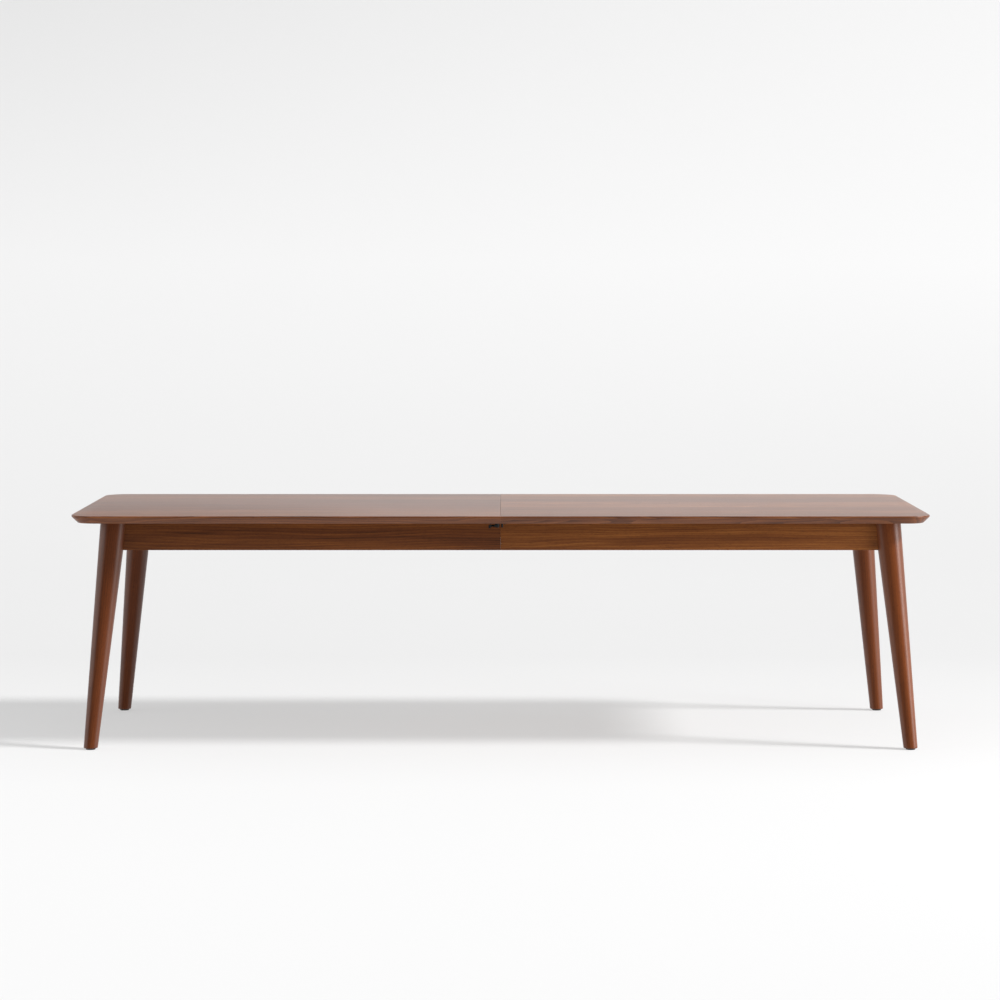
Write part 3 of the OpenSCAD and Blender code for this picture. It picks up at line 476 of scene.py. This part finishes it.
def top_walnut(name):
    """Tops and leaf: plain-sawn boards 127 mm wide, some with arches."""
    return walnut_lacquered(name, WALNUT_TOP_STOPS, board_width=0.127)


def apron_walnut(name):
    """Aprons: straight-grained rift-sawn boards with lines 4 to 6 mm apart."""
    return walnut_lacquered(
        name, WALNUT_APRON_STOPS, pith=(0.16, 0.10), ring=0.006, wander=0.05, shares=(0.16, 0.95, 0.36),
        roughness=0.42, specular=0.12, coat=0.0)


def leg_walnut(name):
    """Legs: straight-grained and turned, with a coat whose sheen is soft, broad and strongest at the rims."""
    return walnut_lacquered(
        name, WALNUT_LEG_STOPS, pith=(0.12, 0.12), ring=0.006, wander=0.03, shares=(0.12, 0.45, 0.22),
        roughness=0.38, specular=0.08, coat=0.8, coat_roughness=0.46)


FINISHES = {
    "walnut_satin_lacquered_top": top_walnut,
    "walnut_satin_lacquered_apron": apron_walnut,
    "walnut_satin_lacquered_turned": leg_walnut,
    "beech_planed_and_waxed": beech_planed,
    "mild_steel_milled": steel_milled,
    "mild_steel_zinc_plated": steel_zinc_plated,
    "brass_turned": brass_turned,
    "steel_black_powder_coated": steel_powder_coated,
    "nylon_black_moulded": nylon_moulded,
}

# ---------- settings ----------


class TableSettings(bpy.types.PropertyGroup):
    """Easing of the wood's edges."""

    top_ease: bpy.props.FloatProperty(
        name="Top Edge Ease", description="Radius of the top's upper edges", default=1.3 * MM,
        min=0.2 * MM, max=2.5 * MM, subtype="DISTANCE", unit="LENGTH")
    board_ease: bpy.props.FloatProperty(
        name="Board Ease", description="Radius of the aprons' and rails' edges", default=1.6 * MM,
        min=0.2 * MM, max=4 * MM, subtype="DISTANCE", unit="LENGTH")
    foot_ease: bpy.props.FloatProperty(
        name="Foot Ease", description="Radius of the rim of each foot", default=2.0 * MM,
        min=0.2 * MM, max=5 * MM, subtype="DISTANCE", unit="LENGTH")
    plate_ease: bpy.props.FloatProperty(
        name="Plate Ease", description="Radius of the steel plates' edges", default=0.5 * MM,
        min=0.1 * MM, max=1.2 * MM, subtype="DISTANCE", unit="LENGTH")


class StageSettings(bpy.types.PropertyGroup):
    """Camera, light and background."""

    lens: bpy.props.FloatProperty(
        name="Lens", description="Focal length on a 36 mm sensor", default=112.0, min=20, max=300,
        subtype="DISTANCE_CAMERA")
    camera_place: bpy.props.FloatVectorProperty(
        name="Camera", description="Where the camera stands", default=(-0.002, -10.466, 1.540),
        subtype="TRANSLATION", unit="LENGTH")
    camera_dip: bpy.props.FloatProperty(
        name="Camera Dip", description="How far the camera looks down", default=0.0727,
        subtype="ANGLE", unit="ROTATION")
    key_power: bpy.props.FloatProperty(
        name="Key Light", description="Strength of the soft key from the upper right", default=4.4, min=0)
    strip_power: bpy.props.FloatProperty(
        name="Strip Light", description="Power of the tall strip light at the right end", default=150,
        min=0, subtype="POWER", unit="POWER")
    sheen_power: bpy.props.FloatProperty(
        name="Sheen Light", description="Power of the soft box behind that sheens the top", default=30,
        min=0, subtype="POWER", unit="POWER")
    sky_power: bpy.props.FloatProperty(
        name="Surround", description="Strength of the room's even light", default=1.0, min=0)
    # the sweep's glow is painted light: an emission that lifts the shadows on it; no lamp lights the sweep
    # from behind
    glow: bpy.props.FloatProperty(
        name="Sweep Glow", description="How strongly the sweep is lit from behind", default=0.415, min=0)
    tint: bpy.props.FloatVectorProperty(
        name="Sweep", description="Colour of the floor and background sheet", size=4, subtype="COLOR",
        default=(0.305, 0.305, 0.305, 1.0), min=0, max=1)


# ---------- pieces ----------

class TABLE_OT_tops(bpy.types.Operator):
    """Both halves of the top, lipped and under-bevelled"""

    bl_idname = "table.tops"
    bl_label = "Tops"

    def execute(self, context):
        ease = context.scene.table_settings.top_ease
        for way, half in zip((-1, 1), HALVES):
            node = f"{half}_top"
            low, high = (np.array(corner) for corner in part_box(node))
            rings = top_rings(way, low, high, ease)
            piece = mesh_piece(f"{half}_table_top", rings.reshape(-1, 3), skin(rings), f"{half}_half",
                               [node])
            shift = (3.1 * way, 0.0635 + 0.31 * way, -high[2])
            # painted shade: the last argument makes the left half 0.06 darker than the right, for the light
            # that falls off from right to left
            give_grain(piece, X_AXIS, Y_AXIS, Z_AXIS, shift, 0.03 * way - 0.02)
            paint(piece, finish_for("walnut_satin_lacquered_top"))
        return {"FINISHED"}


def top_rings(way, low, high, ease):
    """Rings of one half top, from the upper face down.

    A ring at height z is the plan outline moved in by edge(z) along the outer sides and by seam(z) along
    the seam. edge is the upper edge's quarter round, then 0 down the lip, then a straight bevel; seam is a
    quarter round at both faces. A corner where both meet moves in by both.
    """
    top, under = high[2], low[2]
    lip = top - TOP_LIP
    turn = np.linspace(0, np.pi / 2, 6)
    z = np.concatenate([
        top - ease * (1 - np.cos(turn)), [lip + 0.4 * MM, lip - 0.3 * MM],
        under + ease * np.cos(turn)])
    round_up = np.clip(z - (top - ease), 0, ease)
    round_down = np.clip(under + ease - z, 0, ease)
    quarter = ease - np.sqrt(np.clip(ease**2 - round_up**2, 0, None))
    bevel = np.clip(lip - z, 0, None) * TOP_BEVEL / (lip - under)
    edge = quarter + bevel
    seam = quarter + ease - np.sqrt(np.clip(ease**2 - round_down**2, 0, None))

    near = low[0] if way > 0 else high[0]        # the seam
    far = high[0] if way > 0 else low[0]         # the end of the table
    arc = np.linspace(-np.pi / 2, np.pi / 2, 33)
    centre_y = np.where(arc <= 0, low[1] + TOP_CORNER, high[1] - TOP_CORNER)
    arc = np.insert(arc, 17, 0.0)
    centre_y = np.insert(centre_y, 17, high[1] - TOP_CORNER)
    direction = np.stack([way * np.cos(arc), np.sin(arc)], axis=1)
    centres = np.stack([np.full(len(arc), far - way * TOP_CORNER), centre_y], axis=1)
    arc_points = centres + TOP_CORNER * direction
    base = np.concatenate([[(near, low[1])], arc_points, [(near, high[1])]])
    inward = np.concatenate([[(0, 1)], -direction, [(0, -1)]])
    seam_in = np.zeros_like(base)
    seam_in[[0, -1], 0] = way
    plan = base[None] + edge[:, None, None] * inward[None] + seam[:, None, None] * seam_in[None]
    height = np.repeat(z[:, None, None], len(base), axis=1)
    return np.concatenate([plan, height], axis=2)


def leg_axis(node):
    """Centre and radius of a leg's round section at its head and at its foot, read from its CAD outline.

    A level cut through a leaning round leg is as wide along X as its diameter times sqrt(1 + lean ** 2).
    """
    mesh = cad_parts[node].data
    points = np.empty(len(mesh.vertices) * 3)
    mesh.vertices.foreach_get("co", points)
    points = points.reshape(-1, 3)
    low, high = points[:, 2].min(), points[:, 2].max()
    rims = [points[np.abs(points[:, 2] - z) < 0.01 * MM] for z in (high, low)]
    centres = [(rim.min(axis=0) + rim.max(axis=0)) / 2 for rim in rims]
    lean = (centres[1] - centres[0])[0] / (low - high)
    radii = [(rim[:, 0].max() - rim[:, 0].min()) / 2 / np.sqrt(1 + lean**2) for rim in rims]
    return centres[0], radii[0], centres[1], radii[1]


def leg_cut(node, level, along):
    """A function of profile points that gives where a board's end meets a leg.

    At height z the leg's centre and radius lie between head and foot; the board stops where its other
    coordinate q meets that circle: centre - side * (sqrt(r ** 2 - (q - centre_q) ** 2) + gap).
    """
    head, head_r, foot, foot_r = leg_axis(node)
    across = 1 - along

    def cut(profile):
        t = (profile[:, 1] - foot[2]) / (head[2] - foot[2])
        centre = foot[None] + (head - foot)[None] * t[:, None]
        radius = foot_r + (head_r - foot_r) * t
        reach = np.sqrt(np.clip(radius**2 - (profile[:, 0] - centre[:, across]) ** 2, 0, None))
        return centre[:, along] - np.sign(level) * (reach + COPE_GAP)

    return cut


class TABLE_OT_aprons(bpy.types.Operator):
    """Six apron boards, eased and coped to the legs"""

    bl_idname = "table.aprons"
    bl_label = "Aprons"

    def execute(self, context):
        ease = context.scene.table_settings.board_ease
        for way, half in zip((-1, 1), HALVES):
            for side in SIDES:
                node = f"{half}_{side}_apron"
                low, high = (np.array(corner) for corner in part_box(node))
                cut = leg_cut(f"{side}_{half}_leg", way, 0)
                corners = box_corners(low[1:], high[1:])
                ends = (cut, high[0]) if way < 0 else (low[0], cut)
                rings = eased_prism(corners, *ends, ease, CRISP, CRISP)
                piece = mesh_piece(f"{half}_{side}_apron_board", rings.reshape(-1, 3), skin(rings),
                                   f"{half}_half", [node])
                shift = (5.3 * way + (2.0 if side == "back" else 0), 0.03 * way, -low[2] + 0.02 * way)
                give_grain(piece, X_AXIS, Z_AXIS, Y_AXIS, shift, 0.07 * way)
                paint(piece, finish_for("walnut_satin_lacquered_apron"))
            node = f"{half}_end_apron"
            low, high = (np.array(corner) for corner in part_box(node))
            corners = box_corners(low[[0, 2]], high[[0, 2]])
            ends = leg_cut(f"front_{half}_leg", -1, 1), leg_cut(f"back_{half}_leg", 1, 1)
            rings = eased_prism(corners, *ends, ease, CRISP, CRISP)
            piece = mesh_piece(f"{half}_end_apron_board", rings.reshape(-1, 3)[:, [1, 0, 2]], skin(rings),
                               f"{half}_half", [node])
            give_grain(piece, Y_AXIS, Z_AXIS, X_AXIS, (1.7 * way, 0.05, 0.04), 0.03 * way)
            paint(piece, finish_for("walnut_satin_lacquered_apron"))
        return {"FINISHED"}


def leg_rings(head, head_r, foot, foot_r, ease, turns=72, levels=14):
    """Rings of a leaning cone between two level cuts, with the foot's rim rounded.

    A line on the cone at angle u starts at the axis plus r(s) * (cos u * e1 + sin u * e2). Setting its
    height to z gives s = (z - foot_z - r0 * lift) / (axis_z + slope * lift), where lift is the height that
    the radial direction gains. The rim shrinks towards the axis by ease * (1 - cos a) as z rises sin a.
    """
    length = np.linalg.norm(head - foot)
    axis = (head - foot) / length
    e1 = np.cross(Y_AXIS, axis)
    e1 /= np.linalg.norm(e1)
    e2 = np.cross(axis, e1)
    slope = (head_r - foot_r) / length
    u = np.linspace(0, 2 * np.pi, turns, endpoint=False)
    radial = np.cos(u)[:, None] * e1 + np.sin(u)[:, None] * e2
    lift = radial[:, 2]
    a = np.linspace(0, np.pi / 2, 5)
    z = np.concatenate([foot[2] + ease * (1 - np.cos(a)), np.linspace(foot[2] + 3 * ease, head[2], levels)])
    inset = np.concatenate([ease * (1 - np.sin(a)), np.zeros(levels)])
    s = (z[:, None] - foot[2] - foot_r * lift[None]) / (axis[2] + slope * lift[None])
    radius = foot_r + slope * s - inset[:, None]
    points = foot + s[..., None] * axis + radius[..., None] * radial[None]
    points[..., 2] = z[:, None]
    return points, axis, e1, e2


class TABLE_OT_legs(bpy.types.Operator):
    """Four round tapered legs"""

    bl_idname = "table.legs"
    bl_label = "Legs"

    def execute(self, context):
        ease = context.scene.table_settings.foot_ease
        for way, half in zip((-1, 1), HALVES):
            for count, side in enumerate(SIDES):
                node = f"{side}_{half}_leg"
                head, head_r, foot, foot_r = leg_axis(node)
                rings, axis, e1, e2 = leg_rings(head, head_r, foot, foot_r, ease)
                piece = mesh_piece(f"{side}_{half}_turned_leg", rings.reshape(-1, 3), skin(rings),
                                   f"{half}_half", [node])
                origin = (-foot @ axis + 2.3 * way + 1.1 * count, -foot @ e1, -foot @ e2)
                # painted shade: the last argument makes the back legs 0.06 darker, for the less light that
                # reaches them; the left legs are also 0.12 darker than the right
                give_grain(piece, axis, e1, e2, origin, 0.06 * way - 0.06 * count)
                paint(piece, finish_for("walnut_satin_lacquered_turned"))
        return {"FINISHED"}


class TABLE_OT_glides(bpy.types.Operator):
    """A nylon glide under each foot"""

    bl_idname = "table.glides"
    bl_label = "Glides"

    def execute(self, context):
        for half in HALVES:
            for side in SIDES:
                node = f"{side}_{half}_glide"
                low, high = (np.array(corner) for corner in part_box(node))
                centre = (low + high) / 2
                radius = (high[0] - low[0]) / 2
                # a disc turned round its centre: flat sole, quarter-round rim, straight wall, flat top
                a = np.linspace(0, np.pi / 2, 6)
                rim = 1.2 * MM
                sole = 0.55
                r = np.concatenate([[sole * radius], radius - rim * (1 - np.sin(a)), [radius, 0.4 * radius]])
                z = np.concatenate([[0], rim * (1 - np.cos(a)), [GLIDE_H, GLIDE_H]])
                u = np.linspace(0, 2 * np.pi, 64, endpoint=False)
                rings = np.stack([
                    centre[0] + r[:, None] * np.cos(u), centre[1] + r[:, None] * np.sin(u),
                    np.repeat(z[:, None], len(u), axis=1)], axis=-1)
                piece = mesh_piece(f"{side}_{half}_nylon_glide", rings.reshape(-1, 3), skin(rings),
                                   f"{half}_half", [node])
                paint(piece, finish_for("nylon_black_moulded"))
        return {"FINISHED"}


class TABLE_OT_leaf(bpy.types.Operator):
    """The folded leaf's two panels, with lip and bevel on their outer edges"""

    bl_idname = "table.leaf"
    bl_label = "Stored Leaf"

    def execute(self, context):
        ease = context.scene.table_settings.top_ease
        for way, node in ((1, "leaf_upper"), (-1, "leaf_lower")):
            low, high = (np.array(corner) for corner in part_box(node))
            # the fold edge stands back so that the hinge straps let into it lie just proud
            low[1] += CRISP
            good, back = (low[2], high[2]) if way > 0 else (high[2], low[2])
            lip = good + way * TOP_LIP
            corners = [
                (low[1], good), (high[1], good), (high[1], lip), (high[1] - TOP_BEVEL, back), (low[1], back)]
            if way < 0:
                corners = corners[::-1]
            rings = eased_prism(corners, low[0], high[0], ease)
            piece = mesh_piece(
                f"{node}_panel", rings.reshape(-1, 3), skin(rings), "centre", [node])
            give_grain(piece, X_AXIS, Y_AXIS, Z_AXIS, (8.1 + way, 0.3, 0.02), 0.0)
            paint(piece, finish_for("walnut_satin_lacquered_top"))
        return {"FINISHED"}


class TABLE_OT_rails(bpy.types.Operator):
    """The blocks glued into the angle of the aprons and the top"""

    bl_idname = "table.rails"
    bl_label = "Glue Blocks"

    def execute(self, context):
        ease = context.scene.table_settings.board_ease
        for half in HALVES:
            node = f"{half}_glue_blocks"
            parts = []
            for low, high in solid_boxes(node):
                rings = eased_prism(box_corners(low[1:], high[1:]), low[0], high[0], ease)
                parts.append(rings)
            vertices, faces = join_skins(parts)
            piece = mesh_piece(f"{half}_corner_blocks", vertices, faces, f"{half}_half", [node])
            paint(piece, finish_for("beech_planed_and_waxed"))
        return {"FINISHED"}


def solid_boxes(node):
    """Lowest and highest corner of each solid of a CAD node, its triangles joined at their corners."""
    work = bmesh.new()
    work.from_mesh(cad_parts[node].data)
    bmesh.ops.remove_doubles(work, verts=work.verts, dist=0.001 * MM)
    left = set(work.verts)
    boxes = []
    while left:
        island = set()
        edge = [left.pop()]
        while edge:
            vertex = edge.pop()
            island.add(vertex)
            near = {e.other_vert(vertex) for e in vertex.link_edges} & left
            left -= near
            edge.extend(near)
        points = np.array([v.co for v in island])
        boxes.append((points.min(axis=0), points.max(axis=0)))
    work.free()
    return sorted(boxes, key=lambda box: tuple(np.round(box[0], 4)))


class TABLE_OT_braces(bpy.types.Operator):
    """A bent steel brace across each corner of the apron"""

    bl_idname = "table.braces"
    bl_label = "Corner Braces"

    def execute(self, context):
        ease = context.scene.table_settings.plate_ease
        for way, half in zip((-1, 1), HALVES):
            node = f"{half}_braces"
            low, high = (np.array(corner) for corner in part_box(node))
            inner_x = high[0] if way > 0 else low[0]
            parts = []
            for side in (-1, 1):
                inner_y = high[1] if side > 0 else low[1]
                corner = np.array([inner_x, inner_y])
                parts.append(brace_rings(corner, np.array([way, side]), low[2], high[2], ease))
            vertices, faces = join_skins(parts)
            piece = mesh_piece(f"{half}_corner_braces", vertices, faces, f"{half}_half", [node])
            paint(piece, finish_for("mild_steel_zinc_plated"))
        return {"FINISHED"}


def brace_rings(corner, outward, low_z, high_z, ease):
    """Rings of a plate bent across a corner: a rounded strip section carried along flange, diagonal, flange.

    The path is three straight runs with each bend an arc of 8 mm; at each path point the section lies
    across the path's direction, half the plate to each side of the middle line.
    """
    half = BRACE_PLATE / 2
    mid = half * (np.sqrt(2) - 1)
    knots = np.array([
        (-half, -BRACE_CORNER - BRACE_FLANGE), (-half, -BRACE_CORNER - mid),
        (-BRACE_CORNER - mid, -half), (-BRACE_CORNER - BRACE_FLANGE, -half)])
    path = [knots[0]]
    for before, knot, after in zip(knots, knots[1:], knots[2:]):
        t = np.linspace(0, 1, 7)[:, None]
        reach = 8 * MM * np.tan(np.radians(22.5))
        first = knot + (before - knot) / np.linalg.norm(before - knot) * reach
        last = knot + (after - knot) / np.linalg.norm(after - knot) * reach
        path.extend((1 - t) ** 2 * first + 2 * t * (1 - t) * knot + t**2 * last)
    path.append(knots[-1])
    path = np.array(path)
    run = np.gradient(path, axis=0)
    run /= np.linalg.norm(run, axis=1, keepdims=True)
    across = np.stack([-run[:, 1], run[:, 0]], axis=1)
    section = outline_inset(box_corners((-half, low_z), (half, high_z)), 0, ease, 3)
    plan = path[:, None, :] + across[:, None, :] * section[None, :, :1]
    plan = corner + plan * outward
    height = np.repeat(section[None, :, 1:], len(path), axis=0)
    return np.concatenate([plan, height], axis=2)


CAD_FINISHES = {
    "beech_planed_and_waxed": [
        "left_front_slide", "left_back_slide", "right_front_slide", "right_back_slide",
        "front_centre_slide", "back_centre_slide", "left_crossbar", "right_crossbar"],
    "mild_steel_milled": [
        "left_front_rack", "left_back_rack", "right_front_rack", "right_back_rack",
        "front_pinion", "back_pinion", "pinion_pins"],
    "mild_steel_zinc_plated": [
        "left_hanger_bolts", "right_hanger_bolts", "left_hanger_nuts", "right_hanger_nuts",
        "left_brace_screws", "right_brace_screws", "left_slide_screws", "right_slide_screws",
        "left_slide_stops", "right_slide_stops", "centre_screws", "leaf_pivots", "leaf_cradles"],
    "brass_turned": ["alignment_pins", "leaf_pins", "leaf_hinges"],
    "steel_black_powder_coated": [
        "latch_bases", "front_latch_lever", "back_latch_lever", "latch_rivets", "latch_keepers",
        "left_latch_screws", "right_latch_screws"],
}


class TABLE_OT_fittings(bpy.types.Operator):
    """Finishes of the slides, gears, fasteners and latches, which keep their CAD shapes"""

    bl_idname = "table.fittings"
    bl_label = "Fittings"

    def execute(self, context):
        for finish, nodes in CAD_FINISHES.items():
            for node in nodes:
                paint(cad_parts[node], finish_for(finish))
        return {"FINISHED"}


# ---------- stage ----------

class TABLE_OT_stage(bpy.types.Operator):
    """Sweep, surround, lights and camera"""

    bl_idname = "table.stage"
    bl_label = "Stage"

    def execute(self, context):
        settings = context.scene.stage_settings
        scene = context.scene
        scene.view_settings.view_transform = "Standard"
        sweep(settings)
        surround(scene, settings.sky_power)

        key = bpy.data.lights.new("key", "SUN")
        key.energy = settings.key_power
        key.angle = np.radians(12)
        place_light(key, (9.1, -2.2, 7.6), (0, 0, 0))

        strip = bpy.data.lights.new("strip", "AREA")
        strip.shape = "RECTANGLE"
        strip.size = 1.6
        strip.size_y = 2.2
        strip.energy = settings.strip_power
        place_light(strip, (5.2, -2.0, 1.2), (1.3, -0.4, 0.5))

        sheen = bpy.data.lights.new("sheen", "AREA")
        sheen.shape = "RECTANGLE"
        sheen.size = 5.0
        sheen.size_y = 2.0
        sheen.energy = settings.sheen_power
        place_light(sheen, (1.6, 6.0, 4.2), (0.6, 0, 0.76))

        lens = bpy.data.cameras.new("view")
        lens.lens = settings.lens
        lens.sensor_width = 36.0
        camera = bpy.data.objects.new("view", lens)
        camera.location = settings.camera_place
        camera.rotation_euler = (np.pi / 2 - settings.camera_dip, 0, 0)
        scene.collection.objects.link(camera)
        scene.camera = camera
        return {"FINISHED"}


def place_light(light, at, towards):
    """Puts a light at one point, shining at another."""
    lamp = bpy.data.objects.new(light.name, light)
    lamp.location = at
    lamp.rotation_mode = "QUATERNION"
    lamp.rotation_quaternion = (Vector(at) - Vector(towards)).to_track_quat("Z", "Y")
    bpy.context.scene.collection.objects.link(lamp)


def sweep(settings):
    """Sheet with a flat floor that rises in a quarter circle to a wall, carried sideways."""
    turn = np.linspace(0, np.pi / 2, 24)
    y = np.concatenate([[SWEEP_FRONT], SWEEP_BACK + SWEEP_BEND * np.sin(turn), [SWEEP_BACK + SWEEP_BEND]])
    z = np.concatenate([[0], SWEEP_BEND * (1 - np.cos(turn)), [SWEEP_TOP]])
    across = np.array([-SWEEP_HALF, SWEEP_HALF])
    points = np.stack([
        np.repeat(across[:, None], len(y), axis=1), np.repeat(y[None], 2, axis=0),
        np.repeat(z[None], 2, axis=0)], axis=-1)
    here = np.arange(len(y) - 1)
    faces = np.stack([here, here + len(y), here + len(y) + 1, here + 1], axis=1)
    mesh = bpy.data.meshes.new("sweep")
    mesh.from_pydata(points.reshape(-1, 3).tolist(), [], faces.tolist())
    mesh.polygons.foreach_set("use_smooth", np.ones(len(faces), dtype=bool))
    # the sweep's material carries a painted glow that lifts the shadows on it
    mesh.materials.append(acrylic_sweep("sweep_with_painted_glow", tuple(settings.tint), settings.glow))
    sheet = bpy.data.objects.new("sweep", mesh)
    bpy.context.scene.collection.objects.link(sheet)
    return sheet


def surround(scene, power):
    """A dim room, lighter overhead, with a bright reflector that fills the left side."""
    world = bpy.data.worlds.new("surround")
    scene.world = world
    world.use_nodes = True
    tree = world.node_tree
    shade = tree.nodes["Background"]
    direction = add_node(tree, "ShaderNodeTexCoord").outputs["Generated"]
    split = add_node(tree, "ShaderNodeSeparateXYZ", {0: direction})
    overhead = add_node(
        tree, "ShaderNodeMapRange",
        {"Value": split.outputs["Z"], "From Min": 0.0, "From Max": 1.0, "To Min": 0.12, "To Max": 0.5})
    left = add_node(
        tree, "ShaderNodeMapRange",
        {"Value": split.outputs["X"], "From Min": -0.76, "From Max": -0.86, "To Min": 0.0, "To Max": 1.6})
    level = maths(tree, "ADD", overhead.outputs[0], left.outputs[0])
    tree.links.new(level, shade.inputs["Color"])
    shade.inputs["Strength"].default_value = power


PIECES = (
    TABLE_OT_tops, TABLE_OT_aprons, TABLE_OT_legs, TABLE_OT_glides, TABLE_OT_leaf, TABLE_OT_rails,
    TABLE_OT_braces, TABLE_OT_fittings, TABLE_OT_stage,
)


class VIEW3D_PT_dining_table(bpy.types.Panel):
    """Lists the steps and their settings"""

    bl_label = "Dining Table"
    bl_idname = "VIEW3D_PT_dining_table"
    bl_space_type = "VIEW_3D"
    bl_region_type = "UI"
    bl_category = "Dining Table"

    def draw(self, context):
        for settings in (context.scene.table_settings, context.scene.stage_settings):
            for name in settings.__annotations__:
                self.layout.prop(settings, name)
        for piece in PIECES:
            self.layout.operator(piece.bl_idname)


CLASSES = (TableSettings, StageSettings) + PIECES + (VIEW3D_PT_dining_table,)


def register():
    for cls in CLASSES:
        bpy.utils.register_class(cls)
    bpy.types.Scene.table_settings = bpy.props.PointerProperty(type=TableSettings)
    bpy.types.Scene.stage_settings = bpy.props.PointerProperty(type=StageSettings)


def unregister():
    del bpy.types.Scene.stage_settings
    del bpy.types.Scene.table_settings
    for cls in reversed(CLASSES):
        bpy.utils.unregister_class(cls)


def main():
    """Builds everything in order."""
    register()
    for piece in PIECES:
        group, name = piece.bl_idname.split(".")
        getattr(getattr(bpy.ops, group), name)()


if __name__ == "__main__":
    main()
